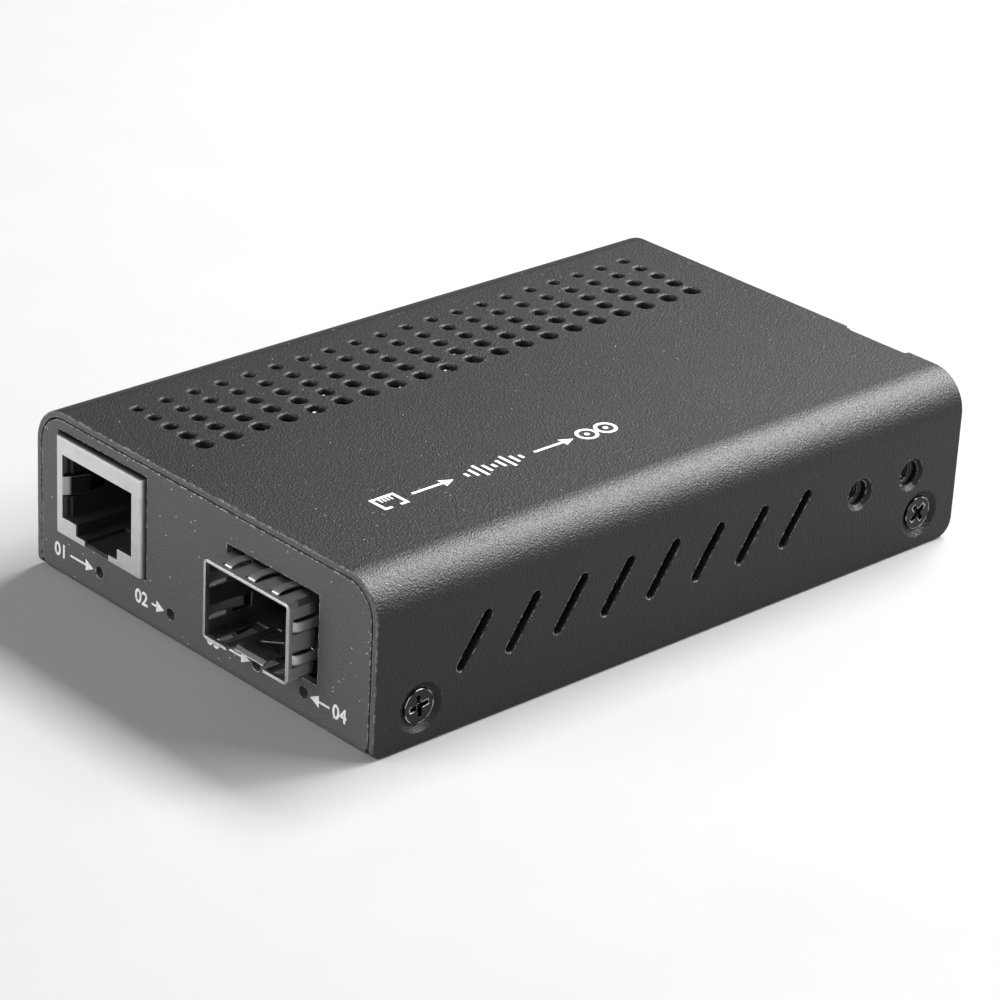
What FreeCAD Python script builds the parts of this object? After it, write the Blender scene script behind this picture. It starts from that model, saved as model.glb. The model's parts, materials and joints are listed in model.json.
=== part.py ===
import FreeCAD, Part
import math
import os

# Small fibre media converter: a flat steel box with one copper network socket and one pluggable
# fibre module cage in its front panel, four status lights below them, a power inlet at the back,
# and a circuit board inside.
#
# Frame: millimetres. X runs to the right as the front panel is faced, Y from the front panel to
# the rear panel, Z up. The origin is the centre of the box's flat underside.

V = FreeCAD.Vector

# ------------------------------------------------------------------ enclosure
WIDTH = 61.0                 # over the cover's two sides
DEPTH = 94.4                 # front edge to rear edge of the cover
HEIGHT = 21.4                # underside of the tray to the top of the cover
COVER_SHEET = 0.8            # steel of the cover
TRAY_SHEET = 1.0             # steel of the tray
COVER_BEND = 5.0             # outer radius of the cover's two long bends
TRAY_BEND = 1.3              # outer radius of the tray's folds
COVER_LIFT = 0.2             # the cover's side edges stop this far above the tray's underside
PANEL_GAP = 0.2              # slot between an end panel and the cover round it
COVER_FRONT_CORNER = 1.2     # lower front corners of the cover's sides
COVER_REAR_CORNER = 2.3      # lower rear corners of the cover's sides
EDGE_ROUND = 0.15            # softening of the sheared sheet edges under the paint

FLANGE_TOP = 8.3             # top of the tray's low side flanges
FLANGE_END_GAP = 2.0         # relief between a side flange and an end panel
TAB_TOP = 13.8               # top of the taller flange tab that holds the accessory threads
TAB_MARGIN = 3.4             # tab beyond the outer accessory holes

NOTCH_WIDTH = 9.6            # shallow notch in the cover's rear edge, over the power inlet
NOTCH_DEPTH = 0.65

# ------------------------------------------------------------------ cooling openings
VENT_COLUMNS = 5
VENT_ROWS = 20
VENT_PITCH_X = 3.08
VENT_PITCH_Y = 4.15
VENT_EDGE = 9.1              # left side of the cover to the first column
VENT_SMALL = 1.5             # diameter in the first column
VENT_GROWTH = 0.2            # each column is this much larger than the last
VENT_RIM = 0.2               # rounded mouth of each hole

SLOT_COUNT = 8
SLOT_PITCH = 7.29
SLOT_FIRST = 14.3            # front edge to the first slot's centre
SLOT_Z = 10.55
SLOT_LENGTH = 7.8            # end to end
SLOT_WIDTH = 1.4
SLOT_LEAN = 35.0             # degrees from upright, leaning to the rear

# ------------------------------------------------------------------ fixings
DIMPLE_DEPTH = 0.5           # dimples are pressed in this far and land on the tray's flanges
SCREW_MOUTH = 3.1            # radius of a screw dimple at the face
SCREW_FLOOR = 2.4            # radius of its floor
SCREW_HEAD = 2.1             # radius of the flat head
SCREW_RIM = 0.25             # straight rim of the head
SCREW_SHANK = 1.15           # radius of the thread
SCREW_LENGTH = 4.0
SCREW_CLEAR = 0.05           # radial clearance of a thread in its hole
HEAD_CLEAR = 0.1             # radial clearance of the head in the cover
SCREW_FROM_FRONT = 6.7
SCREW_FROM_REAR = 6.35
SCREW_Z = 4.75
CROSS_ARM = 1.35             # half length of the head's cross slot
CROSS_WIDTH = 0.62
CROSS_DEPTH = 0.8
CROSS_TURNS = (9.0, 38.0, 17.0, 61.0)   # how far each cross is turned, in degrees

ACCESSORY_MOUTH = 2.1        # radius of an accessory dimple at the face
ACCESSORY_FLOOR = 1.75
ACCESSORY_HOLE = 1.6         # clearance hole in the cover
ACCESSORY_THREAD = 1.25      # core radius of the tapped hole in the flange
ACCESSORY_FROM_REAR = 8.6    # rear edge to the hole nearest to it
ACCESSORY_PITCH = 9.2
ACCESSORY_Z = 10.6
COLLAR_WALL = 0.85           # drawn collar round each tapped hole
COLLAR_LENGTH = 1.2

# ------------------------------------------------------------------ board and its fixings
HEADROOM = 1.73              # top of the network socket to the underside of the cover
BOARD_THICKNESS = 1.6
BOARD_GAP = 0.4              # board edge to the steel round it
BOARD_CORNER = 1.0
STANDOFF_RADIUS = 2.5
STANDOFF_THREAD = 1.25
STANDOFF_BETWEEN_PORTS = 10.5    # front edge to the post that stands midway between the ports
STANDOFF_RIGHT_FRONT = (6.3, 15.5)    # the others: in from the side, and from the nearer end
STANDOFF_LEFT_REAR = (7.5, 12.4)
STANDOFF_RIGHT_REAR = (6.9, 13.9)
BOARD_SCREW_HEAD = 2.6
BOARD_SCREW_RISE = 1.7
BOARD_SCREW_HOLE = 1.6
BOARD_SCREW_END_GAP = 0.25   # tip of a board screw to the tray's floor

# ------------------------------------------------------------------ status lights
LIGHTS_FROM_LEFT = (12.1, 25.5)
LIGHTS_FROM_RIGHT = (20.05, 11.85)
LIGHT_DROP = 1.0             # board to the middle of the lens
LIGHT_HOLE = 0.75            # radius of the hole in the panel
LIGHT_LENS = 0.6
LIGHT_RECESS = 0.7           # tip of the lens behind the panel's face
LIGHT_BODY = (3.0, 3.5, 1.45)  # width, depth and height; it hangs below the board

# ------------------------------------------------------------------ network socket
JACK_INSET = 12.55           # left side of the box to the socket's middle
JACK_WIDTH = 16.2
JACK_HEIGHT = 12.5
JACK_LENGTH = 18.2
JACK_OUT = 0.6               # stands proud of the panel
JACK_SEAT = 0.12             # shield's lower edge above the board
JACK_SHEET = 0.25
JACK_EDGE = 0.4              # rounded upright front edges of the shield
JACK_CUTOUT_GAP = 0.3        # panel cut-out round the shield
PLUG_SHIFT = -0.26           # the plug opening sits this far off the shield's centre
SHIELD_WINDOW = (13.15, 8.08)  # width and height of the opening in the shield
SHIELD_SILL = 2.13           # shield's lower edge to the opening
LATCH_WIDE = 7.85            # upper step of the latch notch
LATCH_DROP = 1.42
LATCH_NARROW = 4.55          # lower step, open at the bottom
LATCH_NARROW_DEPTH = 6.0
PLUG_WIDTH = 11.9            # cavity in the plastic
PLUG_DEPTH = 13.5
LATCH_SILL = 0.45            # plastic left under the lower step
LIP_DEPTH = 0.7              # edges of the opening, folded inwards beside the plug
LIP_ROOM = 0.1               # plastic to those edges
GRIP_HEIGHT = 2.3            # spring fingers beside the plug
GRIP_Z = 6.2                 # their centre above the shield's lower edge
GRIP_SLIT = 0.35
GRIP_PATH = ((0.0, 0.0), (0.5, 0.8), (1.25, 3.0), (0.75, 5.4))  # reach into the opening, and depth
GRIP_SHEET = 0.2
HOUSING_FIT = 0.05           # plastic to shield
PEG_RADIUS = 1.55
PEG_SPACING = 11.4
PEG_BACK = 8.9               # front of the shield to the locating pegs
PEG_LENGTH = 2.4
PEG_CLEAR = 0.1
CONTACT_COUNT = 8
CONTACT_PITCH = 1.02
CONTACT_WIRE = 0.4
CONTACT_ROOM = 0.3           # free space round the wires in the housing
CONTACT_FRONT = 3.2          # front of the cavity to the fold of the wires
CONTACT_DROP = 3.3           # how far the sprung ends hang into the cavity
CONTACT_RUN = 6.5            # length of the sprung ends along the socket
CONTACT_ROW = 2.54           # between the two rows of tails
TAIL_CLEAR = 0.2             # board hole round a solder tail
TAIL_LENGTH = 1.2            # tails below the board

# ------------------------------------------------------------------ fibre module cage
CAGE_INSET = 17.95           # right side of the box to the cage's middle
CAGE_WIDTH = 14.4
CAGE_HEIGHT = 9.55
CAGE_LENGTH = 48.7
CAGE_OUT = 3.5               # stands proud of the panel
CAGE_SHEET = 0.2
CAGE_EDGE = 0.45             # rounded long edges
COLLAR_SHEET = 0.15
COLLAR_LAND = 3.8            # length of the collar's plain lands
CAGE_CUTOUT_GAP = 0.65       # panel cut-out round the collar
CAGE_CUTOUT_SHIFT = 0.35     # the cut-out sits this far to the right of the cage
CORNER_RELIEF = 1.6          # front edge of the collar to the cuts along its long edges
FINGER_PITCH = 4.05
FINGER_PITCH_BELOW = 9.9     # between the two fingers under the cage
FINGER_WIDTH = 1.25
FINGER_SLIT = 0.3
FINGER_ROOT = 0.75           # front edge of the collar to the fingers
FINGER_CREST = 1.5           # root to crest
FINGER_LENGTH = 5.0
FINGER_RISE = 0.4
FINGER_SHOULDER = 0.65       # crest to the bends before and behind it
SHOULDER_SHARE = 0.85        # their height as a share of the rise
CAGE_WINDOW = (0.45, 6.7)    # openings in the cage's walls behind the fingers, from its front edge
CAGE_WINDOW_WIDTH = 1.85
TONGUE_WIDTH = 5.0
TONGUE_GAP = 6.5             # opening in the cage's floor that the tongue lies in
TONGUE_LENGTH = 7.5
TONGUE_BACK = 0.65           # front edge of the cage to the tongue's lip
TONGUE_CURL = 1.05           # length of the curled lip
TONGUE_RISE = 0.45           # the tongue stands this far above the cage's floor
CATCH_WIDTH = 3.6            # triangular catch hole in the tongue
CATCH_LENGTH = 2.0
CATCH_BACK = 3.7
CAGE_PIN_WIDTH = 0.8
CAGE_PINS = (9.0, 17.5, 26.0, 34.5, 43.0)     # behind the cage's front edge
SOCKET_OPEN = (33.5, 46.2)   # opening in the cage's floor for the module connector
EJECT_WIDTH = 2.0            # sprung tongues that push an unlatched module out
EJECT_RISE = 2.2
EJECT_LENGTH = 6.0
EJECT_X = 5.2                # each side of the cage's centre
EJECT_FLOOR_GAP = 0.4

# ------------------------------------------------------------------ module connector
SOCKET_WIDTH = 12.6
SOCKET_LENGTH = 9.2
SOCKET_HEIGHT = 5.4
SOCKET_BACK = 35.2           # front edge of the cage to the connector
SOCKET_SLOT = (9.4, 5.6, 2.2)  # width, depth and height of the card slot
SOCKET_SLOT_Z = 3.1          # board to the middle of the card slot
BLADE_COUNT = 10
BLADE_PITCH = 0.8
BLADE_SHEET = 0.2
BLADE_WIDTH = 0.35
BLADE_REST = 0.15            # blades above the floor and below the roof of the slot

# ------------------------------------------------------------------ power inlet
INLET_INSET = 14.3           # right side of the box to the inlet's middle
INLET_WIDTH = 9.0
INLET_LENGTH = 14.0
INLET_HEIGHT = 11.0
INLET_AXIS = 6.5             # above the board
INLET_NOSE = 4.0
INLET_NOSE_GAP = 0.15
INLET_BORE = 3.05
INLET_BORE_DEPTH = 10.0
INLET_PIN = 1.0
INLET_PIN_LENGTH = 9.2
INLET_PIN_ROOT = 2.0
INLET_SPRING_WIDTH = 2.4
INLET_SPRING_SHEET = 0.3
INLET_CHAMBER = 3.0          # width of the spring's chamber
INLET_SPRING_RUN = 2.3       # tail to crest, and crest to tip
INLET_TAIL = 7.5             # inner end of the inlet to the spring's tail
INLET_PIN_TAIL = 1.2         # inner end of the inlet to the pin's tail

# ------------------------------------------------------------------ parts on the board
TRANSFORMER = (12.7, 9.4, 5.6)    # width, depth and height of each body
TRANSFORMER_SHIFT = 2.95     # socket's middle to the transformer's
TRANSFORMER_BACK = 9.9       # back of the socket to the transformer's middle
CONVERTER_CHIP = (9.0, 9.0, 1.4)
SMALL_CHIP = (3.9, 4.9, 1.5)
CRYSTAL = (4.6, 11.2, 3.4)
CRYSTAL_CORNER = 2.2
INDUCTOR = (7.2, 7.2, 4.2)
INDUCTOR_CORNER = 1.4
FUSE = (3.2, 4.6, 1.6)
DIODE = (3.6, 4.4, 2.3)
CERAMIC = (2.0, 1.25, 1.1)
RESISTOR = (1.6, 0.8, 0.5)
SMALL_CAN = (3.15, 7.7)      # radius and height
LARGE_CAN = (4.0, 10.2)
CAN_FOOT = 0.8
CAN_FOOT_EDGE = 0.15         # foot beyond the can
CAN_ROUND = 0.4
CAN_GROOVE = 0.35
FINE_PITCH = 0.65
WIDE_PITCH = 1.27
LEG_SHARE = 0.4              # leg's width as a share of the pitch
LEG_REACH = 1.0
LEG_HEIGHT = 0.5
CHIP_STAND = 0.1             # chip's underside above the board

# ------------------------------------------------------------------ where the faces come
FRONT = -DEPTH / 2
REAR = DEPTH / 2
LEFT = -WIDTH / 2
RIGHT = WIDTH / 2
JACK_X = LEFT + JACK_INSET
CAGE_X = RIGHT - CAGE_INSET
INLET_X = RIGHT - INLET_INSET
LIGHT_PLACES = [LEFT + x for x in LIGHTS_FROM_LEFT] + [RIGHT - x for x in LIGHTS_FROM_RIGHT]
COVER_IN = WIDTH / 2 - COVER_SHEET
COVER_UNDER = HEIGHT - COVER_SHEET
FLANGE_OUT = COVER_IN - DIMPLE_DEPTH
FLANGE_IN = FLANGE_OUT - TRAY_SHEET
COLLAR_END = FLANGE_IN - COLLAR_LENGTH
PANEL_HALF = COVER_IN - PANEL_GAP
PANEL_TOP = COVER_UNDER - PANEL_GAP
PANEL_CORNER = COVER_BEND - COVER_SHEET - PANEL_GAP
SCREW_TOP = WIDTH / 2 - DIMPLE_DEPTH + SCREW_RIM
SCREW_TIP = SCREW_TOP - SCREW_LENGTH
SCREW_YS = (FRONT + SCREW_FROM_FRONT, REAR - SCREW_FROM_REAR)
ACCESSORY_YS = (REAR - ACCESSORY_FROM_REAR - ACCESSORY_PITCH, REAR - ACCESSORY_FROM_REAR)
BOARD_TOP = HEIGHT - COVER_SHEET - HEADROOM - JACK_HEIGHT - JACK_SEAT
BOARD_BOTTOM = BOARD_TOP - BOARD_THICKNESS
BOARD_HALF = FLANGE_IN - BOARD_GAP
BOARD_Y = (FRONT + TRAY_SHEET + BOARD_GAP, REAR - TRAY_SHEET - BOARD_GAP)
LIGHT_Z = BOARD_BOTTOM - LIGHT_DROP
JACK_FRONT = FRONT - JACK_OUT
JACK_BACK = JACK_FRONT + JACK_LENGTH
JACK_LOW = BOARD_TOP + JACK_SEAT
JACK_HIGH = JACK_LOW + JACK_HEIGHT
PLUG_X = JACK_X + PLUG_SHIFT
PLUG_LOW = JACK_LOW + SHIELD_SILL
PLUG_HIGH = PLUG_LOW + SHIELD_WINDOW[1]
CAGE_FRONT = FRONT - CAGE_OUT
CAGE_LOW = BOARD_TOP
CAGE_HIGH = CAGE_LOW + CAGE_HEIGHT
CAGE_MID = (CAGE_LOW + CAGE_HIGH) / 2
STANDOFFS = (((JACK_X + JACK_WIDTH / 2 + CAGE_X - CAGE_WIDTH / 2) / 2, FRONT + STANDOFF_BETWEEN_PORTS),
             (RIGHT - STANDOFF_RIGHT_FRONT[0], FRONT + STANDOFF_RIGHT_FRONT[1]),
             (LEFT + STANDOFF_LEFT_REAR[0], REAR - STANDOFF_LEFT_REAR[1]),
             (RIGHT - STANDOFF_RIGHT_REAR[0], REAR - STANDOFF_RIGHT_REAR[1]))
INLET_Z = BOARD_TOP + INLET_AXIS
INLET_BACK = REAR - TRAY_SHEET
THROUGH = 2.0                # cutters run this far past what they cut

# small parts in rows: x, and y from the front edge
CERAMIC_PLACES = ([(LEFT + 27.5, y) for y in (40.0, 43.0, 46.0)] + [(LEFT + 13.5, y) for y in (41.0, 44.0)]
                  + [(LEFT + x, 55.0) for x in (21.5, 24.5)] + [(RIGHT - 19.5, y) for y in (56.0, 59.0)]
                  + [(RIGHT - 6.5, y) for y in (40.0, 43.0, 46.0)])
RESISTOR_PLACES = [(x, y) for x in (LEFT + 6.0, LEFT + 25.5) for y in (24.0, 26.5, 29.0, 31.5)]
RESISTOR_PLACES += [(RIGHT - 6.5, y) for y in (26.0, 28.5, 31.0, 33.5)]


# ------------------------------------------------------------------ helpers
def box(x, y, z):
    """Block between a low and a high value on each axis."""
    return Part.makeBox(x[1] - x[0], y[1] - y[0], z[1] - z[0], V(x[0], y[0], z[0]))


def about(centre, width):
    """Low and high value of a width about its centre."""
    return (centre - width / 2, centre + width / 2)


def rod(radius, start, end):
    """Round bar between two points."""
    along = V(*end) - V(*start)
    return Part.makeCylinder(radius, along.Length, V(*start), along)


def taper(radius_start, radius_end, start, end):
    """Round bar whose radius changes evenly from one point to the other."""
    along = V(*end) - V(*start)
    return Part.makeCone(radius_start, radius_end, along.Length, V(*start), along)


def arch(half, low, high, radius, y):
    """Block with rounded upper edges: the outline of the cover and of the end panels."""
    inset = radius * (1 - math.sqrt(0.5))
    corners = [V(-half, y[0], low), V(-half, y[0], high - radius), V(-half + radius, y[0], high),
               V(half - radius, y[0], high), V(half, y[0], high - radius), V(half, y[0], low)]
    left = Part.Arc(corners[1], V(-half + inset, y[0], high - inset), corners[2])
    right = Part.Arc(corners[3], V(half - inset, y[0], high - inset), corners[4])
    edges = [Part.makeLine(corners[0], corners[1]), left.toShape(),
             Part.makeLine(corners[2], corners[3]), right.toShape(),
             Part.makeLine(corners[4], corners[5]), Part.makeLine(corners[5], corners[0])]
    return Part.Face(Part.Wire(edges)).extrude(V(0, y[1] - y[0], 0))


def bent_strip(path, thickness, width):
    """Flat strip bent along a path of (y, z) points, centred on X = 0."""
    points = [V(0, y, z) for y, z in path]
    runs = [(b - a).normalize() for a, b in zip(points, points[1:])]
    sides = [V(0, -run.z, run.y) for run in runs]
    before = [sides[0]] + sides
    after = sides + [sides[-1]]
    mitres = [(a + b) * (1 / (1 + a.dot(b))) for a, b in zip(before, after)]
    upper = [p + m * (thickness / 2) for p, m in zip(points, mitres)]
    lower = [p - m * (thickness / 2) for p, m in zip(points, mitres)]
    outline = upper + lower[::-1] + upper[:1]
    strip = Part.Face(Part.makePolygon(outline)).extrude(V(width, 0, 0))
    return strip.translated(V(-width / 2, 0, 0))


def turned(shape, degrees, axis=(0, 1, 0), centre=(0, 0, 0)):
    """Copy of a shape turned about an axis through a point."""
    copy = shape.copy()
    copy.rotate(V(*centre), V(*axis), degrees)
    return copy


def rounded(shape, radius, chosen):
    """Fillet the edges that a test picks."""
    return shape.makeFillet(radius, [edge for edge in shape.Edges if chosen(edge)])


def lies(edge, **place):
    """Whether both ends of an edge lie at the given x, y or z."""
    ends = [vertex.Point for vertex in edge.Vertexes]
    return all(abs(getattr(end, name) - value) < 1e-5 for end in ends for name, value in place.items())


def upright(edge):
    """Whether an edge is a straight line along Z."""
    ends = [vertex.Point for vertex in edge.Vertexes]
    return len(ends) == 2 and math.hypot(ends[0].x - ends[1].x, ends[0].y - ends[1].y) < 1e-6


def merged(first, others):
    """One solid of touching shapes, without seams between flat faces."""
    return first.fuse(others).removeSplitter()


def save(name, solids):
    """Write one node; a list is a group of separate solids."""
    shape = Part.makeCompound(solids) if isinstance(solids, list) else solids
    count = len(shape.Solids)
    print(f"{name:22s} solids {count:3d}  volume {shape.Volume:10.2f}  valid {shape.isValid()}")
    shape.exportStep(f"parts/{name}.step")


# ------------------------------------------------------------------ folded steel
def vent_cutters():
    """Round holes whose diameter grows from column to column, each with a rounded mouth."""
    cutters = []
    for column in range(VENT_COLUMNS):
        x = -WIDTH / 2 + VENT_EDGE + column * VENT_PITCH_X
        radius = (VENT_SMALL + column * VENT_GROWTH) / 2
        for row in range(VENT_ROWS):
            y = (row - (VENT_ROWS - 1) / 2) * VENT_PITCH_Y
            hole = rod(radius, (x, y, COVER_UNDER - THROUGH), (x, y, HEIGHT))
            mouth = taper(radius, radius + VENT_RIM, (x, y, HEIGHT - VENT_RIM), (x, y, HEIGHT))
            cutters += [hole, mouth]
    return cutters


def slot_cutters():
    """Leaning slots through both sides of the cover."""
    cutters = []
    reach = WIDTH / 2 + THROUGH
    half_run = (SLOT_LENGTH - SLOT_WIDTH) / 2
    for number in range(SLOT_COUNT):
        y = FRONT + SLOT_FIRST + number * SLOT_PITCH
        bar = box((-reach, reach), about(y, SLOT_WIDTH), about(SLOT_Z, 2 * half_run))
        ends = [rod(SLOT_WIDTH / 2, (-reach, y, SLOT_Z + end), (reach, y, SLOT_Z + end))
                for end in (-half_run, half_run)]
        slot = bar.fuse(ends)
        cutters.append(turned(slot, -SLOT_LEAN, (1, 0, 0), (0, y, SLOT_Z)))
    return cutters


def dimple(side, y, z, mouth, floor):
    """Steel added inside and removed outside where a dimple is pressed into a side wall."""
    face = side * WIDTH / 2
    bulge = taper(mouth, floor + COVER_SHEET / 2, (side * COVER_IN, y, z), (side * FLANGE_OUT, y, z))
    recess = taper(mouth, floor, (face, y, z), (face - side * DIMPLE_DEPTH, y, z))
    return bulge, recess


def top_cover():
    """Top and both sides, folded from one sheet, with its vents, slots and dimples."""
    outer = arch(WIDTH / 2, COVER_LIFT, HEIGHT, COVER_BEND, (FRONT, REAR))
    inner = arch(COVER_IN, COVER_LIFT, COVER_UNDER, COVER_BEND - COVER_SHEET, (FRONT, REAR))
    sheet = outer.cut(inner)
    notch = box(about(INLET_X, NOTCH_WIDTH), (REAR - NOTCH_DEPTH, REAR), (COVER_UNDER, HEIGHT))
    sheet = sheet.cut(notch)
    notch_ends = about(INLET_X, NOTCH_WIDTH)
    sheet = rounded(sheet, NOTCH_DEPTH * 0.45, lambda e: upright(e) and any(lies(e, x=x) for x in notch_ends))
    sheet = rounded(sheet, COVER_FRONT_CORNER, lambda e: lies(e, y=FRONT, z=COVER_LIFT))
    sheet = rounded(sheet, COVER_REAR_CORNER, lambda e: lies(e, y=REAR, z=COVER_LIFT))
    sheet = rounded(sheet, EDGE_ROUND, lambda e: lies(e, y=FRONT) and not lies(e, z=COVER_LIFT))
    bulges, recesses, holes = [], [], []
    for side in (-1, 1):
        for y in SCREW_YS:
            bulge, recess = dimple(side, y, SCREW_Z, SCREW_MOUTH, SCREW_FLOOR)
            seat = side * (WIDTH / 2 - DIMPLE_DEPTH)
            cone = taper(SCREW_HEAD + HEAD_CLEAR, SCREW_SHANK + HEAD_CLEAR,
                         (seat, y, SCREW_Z), (side * FLANGE_OUT, y, SCREW_Z))
            bulges.append(bulge)
            recesses.append(recess)
            holes.append(cone)
        for y in ACCESSORY_YS:
            bulge, recess = dimple(side, y, ACCESSORY_Z, ACCESSORY_MOUTH, ACCESSORY_FLOOR)
            hole = rod(ACCESSORY_HOLE, (side * (FLANGE_OUT - THROUGH), y, ACCESSORY_Z),
                       (side * WIDTH / 2, y, ACCESSORY_Z))
            bulges.append(bulge)
            recesses.append(recess)
            holes.append(hole)
    sheet = sheet.fuse(bulges).cut(recesses + holes)
    return sheet.cut(vent_cutters() + slot_cutters())


def tapped_collars():
    """Drawn collars inside the flanges, and the holes through them."""
    collars, holes = [], []
    places = [(y, SCREW_Z, SCREW_SHANK + SCREW_CLEAR) for y in SCREW_YS]
    places += [(y, ACCESSORY_Z, ACCESSORY_THREAD) for y in ACCESSORY_YS]
    for side in (-1, 1):
        for y, z, radius in places:
            start, end = (side * FLANGE_OUT, y, z), (side * COLLAR_END, y, z)
            collars.append(rod(radius + COLLAR_WALL, (side * FLANGE_IN, y, z), end))
            holes.append(rod(radius, start, end))
    return collars, holes


def base_tray():
    """Floor, front and rear panels and side flanges, folded from one sheet."""
    tub = box((-FLANGE_OUT, FLANGE_OUT), (FRONT, REAR), (0, FLANGE_TOP))
    tub = rounded(tub, TRAY_BEND, lambda e: lies(e, z=0))
    inner_bend = TRAY_BEND - TRAY_SHEET
    core = box((-FLANGE_IN, FLANGE_IN), (FRONT + TRAY_SHEET, REAR - TRAY_SHEET), (TRAY_SHEET, HEIGHT))
    core = rounded(core, inner_bend, lambda e: lies(e, z=TRAY_SHEET))
    tray = tub.cut(core)
    panels = []
    for y in ((FRONT, FRONT + TRAY_SHEET), (REAR - TRAY_SHEET, REAR)):
        panels.append(arch(PANEL_HALF, TRAY_BEND, PANEL_TOP, PANEL_CORNER, y))
    tab_y = (ACCESSORY_YS[0] - TAB_MARGIN, ACCESSORY_YS[1] + TAB_MARGIN)
    tabs, reliefs = [], []
    for side in (-1, 1):
        wall = sorted((side * FLANGE_IN, side * FLANGE_OUT))
        tab = box(wall, tab_y, (FLANGE_TOP, TAB_TOP))
        tabs.append(rounded(tab, TRAY_BEND, lambda e: lies(e, z=TAB_TOP) and not lies(e, x=wall[0])
                            and not lies(e, x=wall[1])))
        outside = sorted((side * (FLANGE_IN - inner_bend), side * (WIDTH / 2)))
        for y in ((FRONT + TRAY_BEND, FRONT + TRAY_BEND + FLANGE_END_GAP),
                  (REAR - TRAY_BEND - FLANGE_END_GAP, REAR - TRAY_BEND)):
            reliefs.append(box(outside, y, (-THROUGH, HEIGHT)))
    collars, holes = tapped_collars()
    tray = merged(tray, panels + tabs + collars)
    panel_y = (FRONT - THROUGH, FRONT + TRAY_SHEET + THROUGH)
    jack_half = JACK_WIDTH / 2 + JACK_CUTOUT_GAP
    jack = box(about(JACK_X, 2 * jack_half), panel_y,
               (JACK_LOW - JACK_CUTOUT_GAP, JACK_HIGH + JACK_CUTOUT_GAP))
    cage_gap = COLLAR_SHEET + CAGE_CUTOUT_GAP
    cage = box(about(CAGE_X + CAGE_CUTOUT_SHIFT, CAGE_WIDTH + 2 * cage_gap), panel_y,
               (CAGE_LOW - cage_gap, CAGE_HIGH + cage_gap))
    lights = [rod(LIGHT_HOLE, (x, panel_y[0], LIGHT_Z), (x, panel_y[1], LIGHT_Z)) for x in LIGHT_PLACES]
    inlet = rod(INLET_NOSE + INLET_NOSE_GAP, (INLET_X, REAR - TRAY_SHEET - THROUGH, INLET_Z),
                (INLET_X, REAR + THROUGH, INLET_Z))
    return tray.cut(reliefs + holes + lights + [jack, cage, inlet])


# ------------------------------------------------------------------ fixings
def cover_screw(side, y, turn):
    """Flat-head screw with a cross slot; its axis points out of the cover's side."""
    top, seat = side * SCREW_TOP, side * (WIDTH / 2 - DIMPLE_DEPTH)
    under, tip = side * FLANGE_OUT, side * SCREW_TIP
    rim = rod(SCREW_HEAD, (seat, y, SCREW_Z), (top, y, SCREW_Z))
    cone = taper(SCREW_SHANK, SCREW_HEAD, (under, y, SCREW_Z), (seat, y, SCREW_Z))
    shank = rod(SCREW_SHANK, (tip, y, SCREW_Z), (under, y, SCREW_Z))
    slot_x = sorted((side * (SCREW_TOP - CROSS_DEPTH), side * (SCREW_TOP + THROUGH)))
    arms = [box(slot_x, about(y, 2 * CROSS_ARM), about(SCREW_Z, CROSS_WIDTH)),
            box(slot_x, about(y, CROSS_WIDTH), about(SCREW_Z, 2 * CROSS_ARM))]
    arms = [turned(arm, turn, (1, 0, 0), (0, y, SCREW_Z)) for arm in arms]
    return merged(rim, [cone, shank]).cut(arms)


def standoff(x, y):
    """Round post from the tray's floor to the board, with a blind tapped hole."""
    post = rod(STANDOFF_RADIUS, (x, y, TRAY_SHEET), (x, y, BOARD_BOTTOM))
    return post.cut(rod(STANDOFF_THREAD, (x, y, TRAY_SHEET), (x, y, BOARD_BOTTOM)))


def board_screw(x, y):
    """Pan-head screw that holds the board on a standoff."""
    head_top = BOARD_TOP + BOARD_SCREW_RISE
    head = rod(BOARD_SCREW_HEAD, (x, y, BOARD_TOP), (x, y, head_top))
    head = rounded(head, BOARD_SCREW_RISE * 0.4, lambda e: lies(e, z=head_top))
    tip = TRAY_SHEET + BOARD_SCREW_END_GAP
    shank = rod(STANDOFF_THREAD - SCREW_CLEAR, (x, y, tip), (x, y, BOARD_TOP))
    arms = [box(about(x, CROSS_ARM * 2), about(y, CROSS_WIDTH), (head_top - CROSS_DEPTH, head_top)),
            box(about(x, CROSS_WIDTH), about(y, CROSS_ARM * 2), (head_top - CROSS_DEPTH, head_top))]
    return merged(head, [shank]).cut(arms)


# ------------------------------------------------------------------ board
def contact_tails():
    """Where the network socket's solder tails pass the board, in two staggered rows."""
    first = PLUG_X - (CONTACT_COUNT - 1) / 2 * CONTACT_PITCH
    rear = JACK_FRONT + PLUG_DEPTH + JACK_SHEET
    rows = (rear + 1.2, rear + 1.2 + CONTACT_ROW)
    return [(first + n * CONTACT_PITCH, rows[n % 2]) for n in range(CONTACT_COUNT)]


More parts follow.
